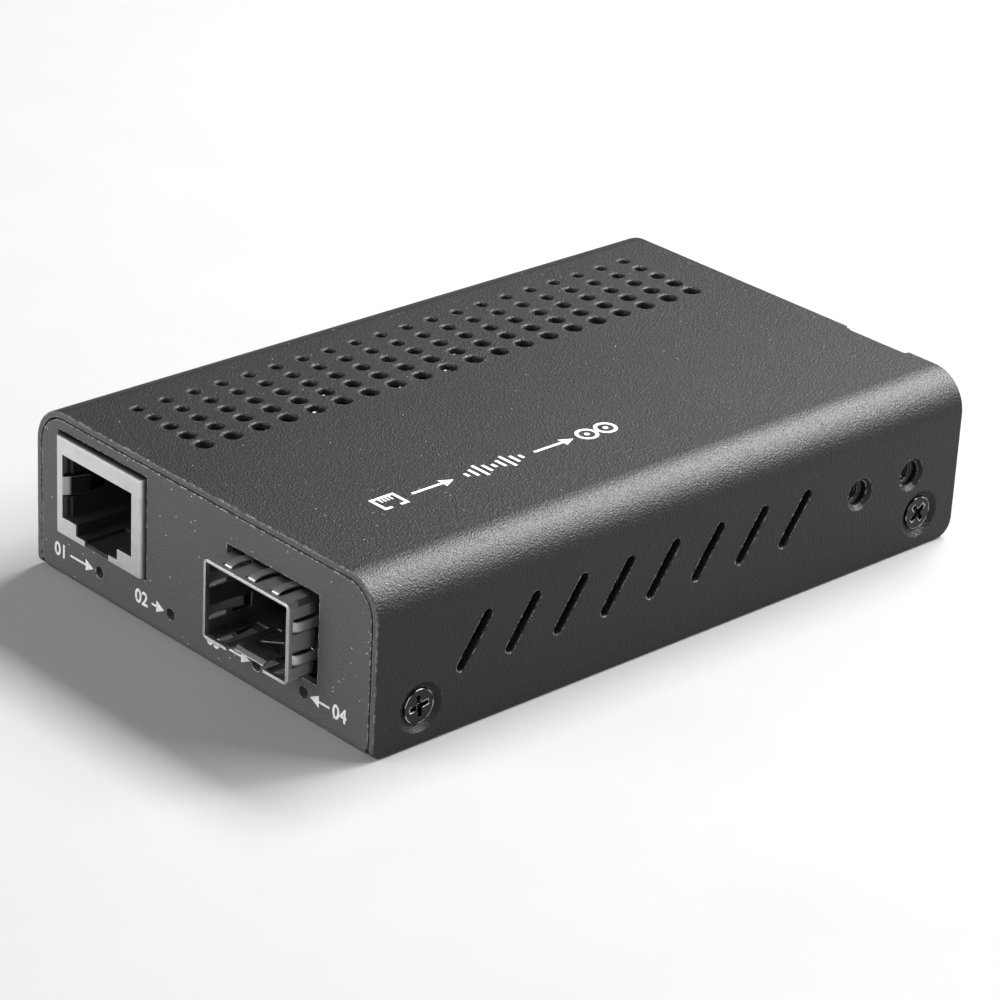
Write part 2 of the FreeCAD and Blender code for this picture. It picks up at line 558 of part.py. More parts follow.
def circuit_board():
    """Glass-fibre board with its notches, screw holes and solder holes."""
    board = box((-BOARD_HALF, BOARD_HALF), BOARD_Y, (BOARD_BOTTOM, BOARD_TOP))
    board = rounded(board, BOARD_CORNER, upright)
    under, over = BOARD_BOTTOM - THROUGH, BOARD_TOP + THROUGH
    cuts = []
    notch_half = SCREW_SHANK + SCREW_CLEAR + COLLAR_WALL + BOARD_GAP
    for side in (-1, 1):
        reach = sorted((side * (SCREW_TIP - BOARD_GAP), side * (BOARD_HALF + THROUGH)))
        cuts += [box(reach, about(y, 2 * notch_half), (under, over)) for y in SCREW_YS]
    notch_back = CAGE_FRONT + FINGER_ROOT + FINGER_LENGTH + BOARD_GAP
    cuts.append(box(about(CAGE_X, CAGE_WIDTH - CAGE_EDGE), (FRONT, notch_back), (under, over)))
    cuts += [rod(BOARD_SCREW_HOLE, (x, y, under), (x, y, over)) for x, y in STANDOFFS]
    for x in about(PLUG_X, PEG_SPACING):
        y = JACK_FRONT + PEG_BACK
        cuts.append(rod(PEG_RADIUS + PEG_CLEAR, (x, y, under), (x, y, over)))
    wire_hole = CONTACT_WIRE / 2 * math.sqrt(2) + TAIL_CLEAR
    cuts += [rod(wire_hole, (x, y, under), (x, y, over)) for x, y in contact_tails()]
    pin_hole = CAGE_PIN_WIDTH / 2 + TAIL_CLEAR
    for x in about(CAGE_X, CAGE_WIDTH - CAGE_SHEET):
        cuts += [rod(pin_hole, (x, CAGE_FRONT + y, under), (x, CAGE_FRONT + y, over)) for y in CAGE_PINS]
    tail_hole = INLET_SPRING_WIDTH / 2 + TAIL_CLEAR
    for y in (inlet_tail_y(), inlet_pin_tail_y()):
        cuts.append(rod(tail_hole, (INLET_X, y, under), (INLET_X, y, over)))
    return board.cut(cuts)


# ------------------------------------------------------------------ network socket
def latch_steps(depth_wide, depth_narrow, narrow_low):
    """Two-step notch for the plug's latch, below the opening."""
    wide_low = PLUG_LOW - LATCH_DROP
    wide = box(about(PLUG_X, LATCH_WIDE), depth_wide, (wide_low, PLUG_LOW + THROUGH))
    narrow = box(about(PLUG_X, LATCH_NARROW), depth_narrow, (narrow_low, wide_low + THROUGH))
    return [wide, narrow]


def window_lip(side):
    """Edge of the shield's opening folded inwards, in two lengths above and below the spring finger."""
    edge = PLUG_X + side * SHIELD_WINDOW[0] / 2
    wall = sorted((edge, edge + side * GRIP_SHEET))
    depth = (JACK_FRONT + JACK_SHEET / 2, JACK_FRONT + JACK_SHEET + LIP_DEPTH)
    finger = about(JACK_LOW + GRIP_Z, GRIP_HEIGHT + 2 * GRIP_SLIT)
    return [box(wall, depth, (PLUG_LOW, finger[0])), box(wall, depth, (finger[1], PLUG_HIGH))]


def grip_finger(side):
    """Spring finger beside the plug, bent in from the shield's front."""
    edge = PLUG_X + side * SHIELD_WINDOW[0] / 2
    path = [(JACK_FRONT + JACK_SHEET / 2 + depth, reach) for reach, depth in GRIP_PATH]
    strip = bent_strip(path, GRIP_SHEET, GRIP_HEIGHT)
    strip = turned(strip, -side * 90)
    return strip.translated(V(edge, 0, JACK_LOW + GRIP_Z))


def rj45_shield():
    """Folded tin-plated shield round the network socket, open below."""
    x = about(JACK_X, JACK_WIDTH)
    shell = box(x, (JACK_FRONT, JACK_BACK), (JACK_LOW, JACK_HIGH))
    shell = rounded(shell, JACK_EDGE, lambda e: lies(e, y=JACK_FRONT) and not lies(e, z=JACK_LOW))
    inside = box((x[0] + JACK_SHEET, x[1] - JACK_SHEET), (JACK_FRONT + JACK_SHEET, JACK_BACK - JACK_SHEET),
                 (JACK_LOW - THROUGH, JACK_HIGH - JACK_SHEET))
    front = (JACK_FRONT - THROUGH, JACK_FRONT + JACK_SHEET + THROUGH)
    window = box(about(PLUG_X, SHIELD_WINDOW[0]), front, (PLUG_LOW, PLUG_HIGH))
    shell = shell.cut([inside, window] + latch_steps(front, front, BOARD_TOP - THROUGH))
    lips = window_lip(-1) + window_lip(1)
    return merged(shell, [grip_finger(-1), grip_finger(1)] + lips)


def wire_path():
    """Path of one contact wire in (y, z), from its fold in the cavity to the rear of the housing."""
    fold = JACK_FRONT + JACK_SHEET + CONTACT_FRONT
    roof = PLUG_HIGH + CONTACT_ROOM + CONTACT_WIRE / 2
    dip = roof - CONTACT_DROP
    return [(fold + CONTACT_RUN, dip), (fold, roof - 2 * CONTACT_WIRE), (fold, roof)]


def rj45_contacts():
    """Eight sprung wires with their solder tails."""
    wires = []
    roof = wire_path()[-1][1]
    for x, y in contact_tails():
        path = wire_path() + [(y, roof), (y, BOARD_BOTTOM - TAIL_LENGTH)]
        wires.append(bent_strip(path, CONTACT_WIRE, CONTACT_WIRE).translated(V(x, 0, 0)))
    return wires


def rj45_housing():
    """Black plastic body inside the shield, with the plug's cavity and its locating pegs."""
    gap = JACK_SHEET + HOUSING_FIT
    x = about(JACK_X, JACK_WIDTH - 2 * gap)
    y = (JACK_FRONT + gap, JACK_BACK - gap)
    body = box(x, y, (BOARD_TOP, JACK_HIGH - gap))
    pegs = []
    for peg_x in about(PLUG_X, PEG_SPACING):
        peg_y = JACK_FRONT + PEG_BACK
        pegs.append(rod(PEG_RADIUS, (peg_x, peg_y, BOARD_TOP - PEG_LENGTH), (peg_x, peg_y, BOARD_TOP)))
    body = merged(body, pegs)
    depth = (JACK_FRONT, JACK_FRONT + PLUG_DEPTH)
    plug = box(about(PLUG_X, PLUG_WIDTH), depth, (PLUG_LOW, PLUG_HIGH))
    steps = latch_steps(depth, (JACK_FRONT, JACK_FRONT + LATCH_NARROW_DEPTH), BOARD_TOP + LATCH_SILL)
    lip_room = SHIELD_WINDOW[0] + 2 * (GRIP_SHEET + LIP_ROOM)
    recess = box(about(PLUG_X, lip_room), (JACK_FRONT, JACK_FRONT + JACK_SHEET + LIP_DEPTH + LIP_ROOM),
                 (PLUG_LOW, PLUG_HIGH))
    grip_depth = JACK_SHEET + GRIP_PATH[-1][1] + CONTACT_ROOM
    pockets = box(about(PLUG_X, SHIELD_WINDOW[0] + 2 * GRIP_SLIT), (JACK_FRONT, JACK_FRONT + grip_depth),
                  about(JACK_LOW + GRIP_Z, GRIP_HEIGHT + 2 * GRIP_SLIT))
    half = (CONTACT_COUNT - 1) / 2 * CONTACT_PITCH + CONTACT_WIRE / 2 + CONTACT_ROOM
    tails = [y for _, y in contact_tails()]
    rear = max(tails) + CONTACT_WIRE / 2 + CONTACT_ROOM
    fold = wire_path()[-1]
    channel = box(about(PLUG_X, 2 * half), (fold[0] - CONTACT_WIRE / 2 - CONTACT_ROOM, rear),
                  (PLUG_HIGH - CONTACT_WIRE, fold[1] + CONTACT_WIRE / 2 + CONTACT_ROOM))
    well = box(about(PLUG_X, 2 * half), (min(tails) - CONTACT_WIRE / 2 - CONTACT_ROOM, rear),
               (BOARD_TOP - THROUGH, PLUG_HIGH))
    return body.cut([plug, recess, pockets, channel, well] + steps)


# ------------------------------------------------------------------ fibre module cage
def cage_tube(width, low, high, y, sheet, edge):
    """Square tube of sheet metal with rounded long edges."""
    outer = box(about(CAGE_X, width), y, (low, high))
    outer = rounded(outer, edge, lambda e: not lies(e, y=y[0]) and not lies(e, y=y[1]))
    inner = box(about(CAGE_X, width - 2 * sheet), y, (low + sheet, high - sheet))
    inner = rounded(inner, edge - sheet, lambda e: not lies(e, y=y[0]) and not lies(e, y=y[1]))
    return outer.cut(inner)


def finger_places():
    """Turn about Y and place of each spring finger: three above, two a side, two below."""
    half_width, half_height = CAGE_WIDTH / 2, CAGE_HEIGHT / 2
    above = [(0, CAGE_X + n * FINGER_PITCH, CAGE_MID + half_height) for n in (-1, 0, 1)]
    below = [(180, CAGE_X + n * FINGER_PITCH_BELOW, CAGE_MID - half_height) for n in (-0.5, 0.5)]
    right = [(90, CAGE_X + half_width, CAGE_MID + n * FINGER_PITCH) for n in (-0.5, 0.5)]
    left = [(-90, CAGE_X - half_width, CAGE_MID + n * FINGER_PITCH) for n in (-0.5, 0.5)]
    return above + below + right + left


def around_cage(shape):
    """Copies of a shape, drawn for the top wall, at every spring finger."""
    return [turned(shape, turn).translated(V(x, 0, z)) for turn, x, z in finger_places()]


def floor_gap(length):
    """Opening in the floor of the cage and its collar, from the front edge backwards."""
    return box(about(CAGE_X, TONGUE_GAP), (CAGE_FRONT, CAGE_FRONT + length),
               (CAGE_LOW - THROUGH, CAGE_LOW + CAGE_SHEET))


def sfp_collar():
    """Sprung earthing collar welded round the mouth of the cage."""
    low, high = CAGE_LOW - COLLAR_SHEET, CAGE_HIGH + COLLAR_SHEET
    land = (CAGE_FRONT, CAGE_FRONT + COLLAR_LAND)
    collar = cage_tube(CAGE_WIDTH + 2 * COLLAR_SHEET, low, high, land, COLLAR_SHEET,
                       CAGE_EDGE + COLLAR_SHEET)
    root = CAGE_FRONT + FINGER_ROOT
    slit = box(about(0, FINGER_WIDTH + 2 * FINGER_SLIT), (root, land[1]), (-COLLAR_SHEET, THROUGH))
    reliefs = []
    for x in (-1, 1):
        for z in (-1, 1):
            corner = (CAGE_X + x * CAGE_WIDTH / 2, CAGE_MID + z * CAGE_HEIGHT / 2)
            reliefs.append(box(about(corner[0], 2 * CAGE_EDGE), (CAGE_FRONT + CORNER_RELIEF, land[1]),
                               about(corner[1], 2 * CAGE_EDGE)))
    collar = collar.cut(around_cage(slit) + reliefs + [floor_gap(COLLAR_LAND)])
    middle = COLLAR_SHEET / 2
    crest, shoulder = root + FINGER_CREST, middle + FINGER_RISE * SHOULDER_SHARE
    path = [(root - FINGER_SLIT, middle), (root, middle), (crest - FINGER_SHOULDER, shoulder)]
    path += [(crest, middle + FINGER_RISE), (crest + FINGER_SHOULDER, shoulder)]
    path.append((root + FINGER_LENGTH, middle))
    finger = bent_strip(path, COLLAR_SHEET, FINGER_WIDTH)
    return merged(collar, around_cage(finger))


def sfp_cage():
    """Folded cage that a fibre module slides into, with its latch tongue and press-in pins."""
    length = (CAGE_FRONT, CAGE_FRONT + CAGE_LENGTH)
    cage = cage_tube(CAGE_WIDTH, CAGE_LOW, CAGE_HIGH, length, CAGE_SHEET, CAGE_EDGE)
    back = box(about(CAGE_X, CAGE_WIDTH - 2 * CAGE_EDGE), (length[1] - CAGE_SHEET, length[1]),
               (CAGE_LOW + SOCKET_HEIGHT + CAGE_EDGE, CAGE_HIGH - CAGE_EDGE))
    bridge = [box(about(CAGE_X, CAGE_WIDTH - CAGE_SHEET), (length[1] - CAGE_SHEET, length[1]),
                  (CAGE_LOW + SOCKET_HEIGHT + CAGE_EDGE, CAGE_HIGH - CAGE_SHEET / 2))]
    window = box(about(0, CAGE_WINDOW_WIDTH), (CAGE_FRONT + CAGE_WINDOW[0], CAGE_FRONT + CAGE_WINDOW[1]),
                 about(0, 4 * CAGE_SHEET))
    open_floor = box(about(CAGE_X, SOCKET_WIDTH + CAGE_SHEET),
                     (CAGE_FRONT + SOCKET_OPEN[0], CAGE_FRONT + SOCKET_OPEN[1]),
                     (CAGE_LOW - THROUGH, CAGE_LOW + CAGE_SHEET))
    cage = merged(cage, [back] + bridge)
    cage = cage.cut(around_cage(window) + [floor_gap(TONGUE_LENGTH), open_floor])
    middle = CAGE_LOW + CAGE_SHEET / 2
    tip = CAGE_FRONT + TONGUE_BACK
    path = [(CAGE_FRONT + TONGUE_LENGTH + CAGE_SHEET, middle), (tip + TONGUE_CURL, middle + TONGUE_RISE),
            (tip + TONGUE_CURL * 0.5, middle + TONGUE_RISE * 0.85), (tip, middle)]
    tongue = bent_strip(path, CAGE_SHEET, TONGUE_WIDTH).translated(V(CAGE_X, 0, 0))
    base_y = CAGE_FRONT + CATCH_BACK
    under = CAGE_LOW - THROUGH
    triangle = [V(CAGE_X - CATCH_WIDTH / 2, base_y, under), V(CAGE_X, base_y + CATCH_LENGTH, under),
                V(CAGE_X + CATCH_WIDTH / 2, base_y, under)]
    catch = Part.Face(Part.makePolygon(triangle + triangle[:1])).extrude(V(0, 0, 2 * THROUGH))
    pins = []
    for side in (-1, 1):
        wall = sorted((CAGE_X + side * CAGE_WIDTH / 2, CAGE_X + side * (CAGE_WIDTH / 2 - CAGE_SHEET)))
        for y in CAGE_PINS:
            pins.append(box(wall, about(CAGE_FRONT + y, CAGE_PIN_WIDTH),
                            (BOARD_BOTTOM - TAIL_LENGTH, CAGE_LOW + CAGE_EDGE)))
    return merged(cage, [tongue.cut(catch)] + pins)


def eject_springs():
    """Pair of leaves that push an unlatched module out of the cage."""
    leaves = []
    floor = CAGE_LOW + CAGE_SHEET
    back = CAGE_FRONT + SOCKET_OPEN[0]
    for side in (-1, 1):
        start = back - EJECT_LENGTH - EJECT_FLOOR_GAP
        path = [(start, floor + CAGE_SHEET / 2), (start + EJECT_LENGTH / 2, floor + CAGE_SHEET / 2),
                (back - EJECT_FLOOR_GAP, floor + EJECT_RISE)]
        leaf = bent_strip(path, CAGE_SHEET, EJECT_WIDTH)
        leaves.append(leaf.translated(V(CAGE_X + side * EJECT_X, 0, 0)))
    return leaves


def sfp_connector():
    """Plastic connector on the board at the back of the cage, with its card slot."""
    front = CAGE_FRONT + SOCKET_BACK
    body = box(about(CAGE_X, SOCKET_WIDTH), (front, front + SOCKET_LENGTH),
               (BOARD_TOP, BOARD_TOP + SOCKET_HEIGHT))
    width, depth, height = SOCKET_SLOT
    slot = box(about(CAGE_X, width), (front, front + depth), about(BOARD_TOP + SOCKET_SLOT_Z, height))
    row = (BLADE_COUNT - 0.5) * BLADE_PITCH + BLADE_WIDTH + 2 * BLADE_REST
    pocket = box(about(CAGE_X, row), (front + depth, front + SOCKET_LENGTH),
                 about(BOARD_TOP + SOCKET_SLOT_Z, height))
    return body.cut([slot, pocket])


def sfp_contacts():
    """Two rows of contact blades in the card slot, with tails behind the connector."""
    front = CAGE_FRONT + SOCKET_BACK
    rear = front + SOCKET_LENGTH
    middle = BOARD_TOP + SOCKET_SLOT_Z
    reach = SOCKET_SLOT[2] / 2 - BLADE_REST - BLADE_SHEET / 2
    foot = BOARD_TOP + BLADE_SHEET / 2
    blades = []
    for row, tail in ((-1, 0.5), (1, 1.1)):
        z = middle + row * reach
        path = [(front + 1.0, z), (rear + tail, z), (rear + tail, foot), (rear + tail + 0.4, foot)]
        for n in range(BLADE_COUNT):
            x = CAGE_X + (n - (BLADE_COUNT - 1) / 2) * BLADE_PITCH
            shift = row * BLADE_PITCH / 4
            blades.append(bent_strip(path, BLADE_SHEET, BLADE_WIDTH).translated(V(x + shift, 0, 0)))
    return blades


# ------------------------------------------------------------------ status lights
def status_light(x):
    """Sideways lamp that hangs below the board, its lens in the panel's hole."""
    width, depth, height = LIGHT_BODY
    front = BOARD_Y[0]
    body = box(about(x, width), (front, front + depth), (BOARD_BOTTOM - height, BOARD_BOTTOM))
    tip = FRONT + LIGHT_RECESS + LIGHT_LENS
    lens = rod(LIGHT_LENS, (x, tip, LIGHT_Z), (x, front + LIGHT_LENS, LIGHT_Z))
    dome = Part.makeSphere(LIGHT_LENS, V(x, tip, LIGHT_Z))
    return merged(body, [lens, dome])


# ------------------------------------------------------------------ power inlet
def inlet_tail_y():
    """Where the sprung contact's tail passes the board."""
    return INLET_BACK - INLET_LENGTH + INLET_TAIL


def inlet_pin_tail_y():
    """Where the centre pin's tail passes the board."""
    return INLET_BACK - INLET_LENGTH + INLET_PIN_TAIL


def dc_jack_body():
    """Plastic body of the power inlet, its nose in the rear panel's hole."""
    front = INLET_BACK - INLET_LENGTH
    body = box(about(INLET_X, INLET_WIDTH), (front, INLET_BACK), (BOARD_TOP, BOARD_TOP + INLET_HEIGHT))
    nose = rod(INLET_NOSE, (INLET_X, INLET_BACK - TRAY_SHEET, INLET_Z), (INLET_X, REAR, INLET_Z))
    body = merged(body, [nose])
    bore = rod(INLET_BORE, (INLET_X, REAR - INLET_BORE_DEPTH, INLET_Z), (INLET_X, REAR, INLET_Z))
    root_y = REAR - INLET_BORE_DEPTH - INLET_PIN_ROOT - INLET_SPRING_SHEET
    root = rod(INLET_PIN + SCREW_CLEAR, (INLET_X, front, INLET_Z), (INLET_X, REAR, INLET_Z))
    tail = box(about(INLET_X, INLET_SPRING_WIDTH + 2 * SCREW_CLEAR), (front, root_y),
               (BOARD_TOP, INLET_Z + INLET_PIN))
    chamber = box(about(INLET_X, INLET_CHAMBER), (inlet_tail_y() - 1.0, INLET_BACK - TRAY_SHEET),
                  (BOARD_TOP, INLET_Z - INLET_BORE / 2))
    return body.cut([bore, root, tail, chamber])


def dc_jack_pin():
    """Centre pin of the power inlet, with its tail strip."""
    root_y = REAR - INLET_BORE_DEPTH - INLET_PIN_ROOT
    tip_y = REAR - INLET_BORE_DEPTH + INLET_PIN_LENGTH
    pin = rod(INLET_PIN, (INLET_X, root_y, INLET_Z), (INLET_X, tip_y, INLET_Z))
    strip = [(root_y + INLET_SPRING_SHEET, INLET_Z), (inlet_pin_tail_y(), INLET_Z),
             (inlet_pin_tail_y(), BOARD_BOTTOM - TAIL_LENGTH)]
    tail = bent_strip(strip, INLET_SPRING_SHEET, INLET_PIN * 2).translated(V(INLET_X, 0, 0))
    return merged(pin, [tail])


def dc_jack_spring():
    """Sprung outer contact under the bore of the power inlet."""
    tail = inlet_tail_y()
    low = INLET_Z - INLET_BORE - 2 * INLET_SPRING_SHEET
    crest = INLET_Z - INLET_BORE + INLET_SPRING_SHEET
    path = [(tail, BOARD_BOTTOM - TAIL_LENGTH), (tail, low), (tail + INLET_SPRING_RUN, crest),
            (tail + 2 * INLET_SPRING_RUN, low)]
    return bent_strip(path, INLET_SPRING_SHEET, INLET_SPRING_WIDTH).translated(V(INLET_X, 0, 0))


# ------------------------------------------------------------------ parts on the board
def on_board(x, y, size, corner=0.0):
    """Block of a width, depth and height, standing on the board about a point."""
    block = box(about(x, size[0]), about(y, size[1]), (BOARD_TOP, BOARD_TOP + size[2]))
    return rounded(block, corner, upright) if corner else block


def leaded(x, y, size, legs, pitch, sides):
    """Sealed chip with rows of legs; sides names the axes that the rows leave along."""
    width, depth, height = size
    chip = box(about(x, width), about(y, depth), (BOARD_TOP + CHIP_STAND, BOARD_TOP + height))
    feet = []
    for n in range(legs):
        along = (n - (legs - 1) / 2) * pitch
        thick = pitch * LEG_SHARE
        if "x" in sides:
            feet.append(on_board(x, y + along, (width + 2 * LEG_REACH, thick, LEG_HEIGHT)))
        if "y" in sides:
            feet.append(on_board(x + along, y, (thick, depth + 2 * LEG_REACH, LEG_HEIGHT)))
    return merged(chip, feet)


def can_capacitor(x, y, radius, height):
    """Aluminium can capacitor on its square plastic foot, with a pressed groove."""
    width = 2 * (radius + CAN_FOOT_EDGE)
    foot = on_board(x, y, (width, width, CAN_FOOT), CAN_ROUND)
    top = BOARD_TOP + height
    can = rod(radius, (x, y, BOARD_TOP), (x, y, top))
    can = rounded(can, CAN_ROUND, lambda e: lies(e, z=top))
    groove = Part.makeTorus(radius + CAN_GROOVE / 3, CAN_GROOVE, V(x, y, BOARD_TOP + 2 * CAN_FOOT))
    return merged(foot, [can.cut(groove)])


def board_parts():
    """Every part soldered to the board besides the ports, by node name."""
    parts = {
        "line_transformer": leaded(JACK_X + TRANSFORMER_SHIFT, JACK_BACK + TRANSFORMER_BACK, TRANSFORMER, 8,
                                   WIDE_PITCH, "y"),
        "converter_chip": leaded(LEFT + 20.5, FRONT + 47.5, CONVERTER_CHIP, 12, FINE_PITCH, "xy"),
        "memory_chip": leaded(LEFT + 9.0, FRONT + 46.0, SMALL_CHIP, 4, WIDE_PITCH, "x"),
        "regulator_chip": leaded(RIGHT - 10.0, FRONT + 56.0, SMALL_CHIP, 4, WIDE_PITCH, "x"),
        "crystal_can": on_board(LEFT + 31.0, FRONT + 53.5, CRYSTAL, CRYSTAL_CORNER),
        "power_inductor": on_board(RIGHT - 10.5, FRONT + 66.0, INDUCTOR, INDUCTOR_CORNER),
        "input_fuse": on_board(RIGHT - 23.0, REAR - 9.9, FUSE),
        "protection_diode": on_board(RIGHT - 28.5, REAR - 9.9, DIODE),
        "can_capacitor_1": can_capacitor(LEFT + 10.0, FRONT + 60.0, *SMALL_CAN),
        "can_capacitor_2": can_capacitor(LEFT + 17.7, FRONT + 64.5, *SMALL_CAN),
        "can_capacitor_3": can_capacitor(RIGHT - 25.0, REAR - 20.4, *LARGE_CAN),
    }
    parts["ceramic_capacitors"] = [on_board(x, FRONT + y, CERAMIC) for x, y in CERAMIC_PLACES]
    parts["chip_resistors"] = [on_board(x, FRONT + y, RESISTOR) for x, y in RESISTOR_PLACES]
    return parts


# ------------------------------------------------------------------ build
def build():
    """Every node by name."""
    nodes = {"top_cover": top_cover(), "base_tray": base_tray(), "circuit_board": circuit_board()}
    corners = [(side, y) for side in (1, -1) for y in SCREW_YS]
    nodes["cover_screws"] = [cover_screw(*corner, turn) for corner, turn in zip(corners, CROSS_TURNS)]
    nodes["standoffs"] = [standoff(x, y) for x, y in STANDOFFS]
    nodes["board_screws"] = [board_screw(x, y) for x, y in STANDOFFS]
    for number, x in enumerate(LIGHT_PLACES, start=1):
        nodes[f"status_light_{number}"] = status_light(x)
    nodes["rj45_shield"] = rj45_shield()
    nodes["rj45_housing"] = rj45_housing()
    nodes["rj45_contacts"] = rj45_contacts()
    nodes["sfp_cage"] = sfp_cage()
    nodes["sfp_collar"] = sfp_collar()
    nodes["sfp_eject_springs"] = eject_springs()
    nodes["sfp_connector"] = sfp_connector()
    nodes["sfp_contacts"] = sfp_contacts()
    nodes["dc_jack_body"] = dc_jack_body()
    nodes["dc_jack_pin"] = dc_jack_pin()
    nodes["dc_jack_spring"] = dc_jack_spring()
    nodes.update(board_parts())
    return nodes


os.makedirs("parts", exist_ok=True)
for node, solids in build().items():
    save(node, solids)
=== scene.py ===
# %% [markdown]
# # A small steel box that joins a copper network to a fibre one
#
# The construction comes in as a fixed frame: every sheet, screw and socket at its real size.
# This lesson gives those pieces their finish, and builds the springs, rims, wires and printed
# marks that are easier to make here. Lengths are in metres, so a helper turns millimetres into them.

# %% The frame
import bpy
import bmesh
import json
import math
from mathutils import Matrix, Vector

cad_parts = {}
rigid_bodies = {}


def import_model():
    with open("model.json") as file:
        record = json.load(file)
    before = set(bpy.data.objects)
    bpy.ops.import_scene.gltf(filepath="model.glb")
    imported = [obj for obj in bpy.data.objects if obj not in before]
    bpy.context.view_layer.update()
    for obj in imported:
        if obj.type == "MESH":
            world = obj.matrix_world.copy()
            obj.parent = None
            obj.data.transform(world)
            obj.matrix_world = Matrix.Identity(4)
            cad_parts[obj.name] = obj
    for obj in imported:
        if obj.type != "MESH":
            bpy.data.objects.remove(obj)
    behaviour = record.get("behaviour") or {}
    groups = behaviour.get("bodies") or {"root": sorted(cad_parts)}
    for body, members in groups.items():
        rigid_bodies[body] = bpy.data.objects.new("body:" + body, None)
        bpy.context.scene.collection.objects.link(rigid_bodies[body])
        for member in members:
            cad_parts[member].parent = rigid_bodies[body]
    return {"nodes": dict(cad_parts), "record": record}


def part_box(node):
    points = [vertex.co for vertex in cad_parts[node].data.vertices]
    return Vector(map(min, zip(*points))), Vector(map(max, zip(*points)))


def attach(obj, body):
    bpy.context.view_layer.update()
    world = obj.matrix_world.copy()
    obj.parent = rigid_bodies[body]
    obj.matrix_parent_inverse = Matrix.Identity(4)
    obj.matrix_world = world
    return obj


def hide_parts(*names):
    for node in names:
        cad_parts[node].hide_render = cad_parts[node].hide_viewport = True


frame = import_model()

nodes = frame["nodes"]
for leftover in [o for o in bpy.data.objects if o.name in ("Cube", "Light", "Camera")]:
    bpy.data.objects.remove(leftover)
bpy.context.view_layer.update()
print("pieces in the frame:", len(nodes))

MM = 0.001


def mm(*lengths):
    """Millimetres as metres: one number, or a vector of them."""
    return lengths[0] * MM if len(lengths) == 1 else Vector(lengths) * MM


# %% [markdown]
# ## Where things are
#
# The frame says where each piece lies, so the front face, the top, the cage and its collar are read
# from the boxes of their pieces and not typed in again.

# %% Places read from the frame
cover_low, cover_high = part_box("top_cover")
cage_low, cage_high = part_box("sfp_cage")
collar_low, collar_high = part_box("sfp_collar")
front_y, rear_y = cover_low.y, cover_high.y
top_z, side_x = cover_high.z, cover_high.x
print("box, mm:", [round(v / MM, 2) for v in cover_high - cover_low])

# %% [markdown]
# ## A shorthand for material nodes
#
# A procedural material is a small machine of nodes. Written out in full, each node takes four or five
# lines, so one helper makes a node, sets it, and either types a number into an input or plugs a
# wire into it. Every pattern reads Object coordinates, so it stays put on its piece.

# %% Material helpers
def put(tree, kind, inputs=None, **settings):
    """One node of a tree; an input is given a value, or the output that feeds it."""
    node = tree.nodes.new(kind)
    for name, value in settings.items():
        setattr(node, name, value)
    for name, value in (inputs or {}).items():
        if isinstance(value, bpy.types.NodeSocket):
            tree.links.new(value, node.inputs[name])
        else:
            node.inputs[name].default_value = value
    return node


def finish(name, metallic=0.0, roughness=0.5, colour=(0.5, 0.5, 0.5), **sockets):
    """A new material: its tree, its shader and its object coordinates."""
    material = bpy.data.materials.new(name)
    material.use_nodes = True
    tree = material.node_tree
    shader = tree.nodes["Principled BSDF"]
    shader.inputs["Base Color"].default_value = (*colour, 1)
    shader.inputs["Metallic"].default_value = metallic
    shader.inputs["Roughness"].default_value = roughness
    for socket, value in sockets.items():
        shader.inputs[socket.replace("_", " ").title().replace("Ior", "IOR")].default_value = value
    place = put(tree, "ShaderNodeTexCoord").outputs["Object"]
    return material, tree, shader, place


def ramp(tree, value, low, high, start=0.0, end=1.0):
    """A value, stretched from one range to another and held inside it."""
    return put(tree, "ShaderNodeMapRange", {"Value": value, "From Min": low, "From Max": high,
                                           "To Min": start, "To Max": end}).outputs["Result"]


def spread(tree, pattern, start, end):
    """The usual run of a noise pattern, stretched between two values."""
    return ramp(tree, pattern, 0.3, 0.7, start, end)


def blend(tree, factor, first, second):
    """Two colours mixed by a factor."""
    mix = put(tree, "ShaderNodeMix", data_type="RGBA")
    for socket, value in zip((mix.inputs[0], mix.inputs[6], mix.inputs[7]), (factor, first, second)):
        if isinstance(value, bpy.types.NodeSocket):
            tree.links.new(value, socket)
        elif isinstance(value, tuple):
            socket.default_value = (*value, 1)
        else:
            socket.default_value = value
    return mix.outputs[2]


def noise(tree, place, scale, detail=2.0, roughness=0.5):
    """Cloudy noise with so many bumps to a metre."""
    return put(tree, "ShaderNodeTexNoise", {"Vector": place, "Scale": scale, "Detail": detail,
                                            "Roughness": roughness}).outputs["Fac"]


def arithmetic(tree, operation, first, second=0.0):
    """One sum on values."""
    return put(tree, "ShaderNodeMath", {0: first, 1: second}, operation=operation).outputs[0]


def scaled(tree, vector, share):
    """A colour or a direction, times a value."""
    return put(tree, "ShaderNodeVectorMath", {0: vector, "Scale": share}, operation="SCALE").outputs[0]


def part_of(tree, vector, axis):
    """One of a vector's three values."""
    return put(tree, "ShaderNodeSeparateXYZ", {"Vector": vector}).outputs[axis]


def feed(tree, shader, colour=None, roughness=None, normal=None):
    """Plugs what is given into the shader's own inputs."""
    for name, output in (("Base Color", colour), ("Roughness", roughness), ("Normal", normal)):
        if output is not None:
            tree.links.new(output, shader.inputs[name])


def rounded(tree, radius):
    """The normal that a piece would have if its sharp edges were rounded."""
    return put(tree, "ShaderNodeBevel", {"Radius": radius}, samples=6).outputs["Normal"]


def sharp_edge_mask(tree, radius, low=0.02, high=0.25):
    """1 along a piece's sharp edges and 0 on its flats: how far a rounded normal leaves the true one."""
    true = put(tree, "ShaderNodeNewGeometry").outputs["Normal"]
    likeness = put(tree, "ShaderNodeVectorMath", {0: rounded(tree, radius), 1: true},
                   operation="DOT_PRODUCT").outputs["Value"]
    return ramp(tree, likeness, 1 - low, 1 - high)


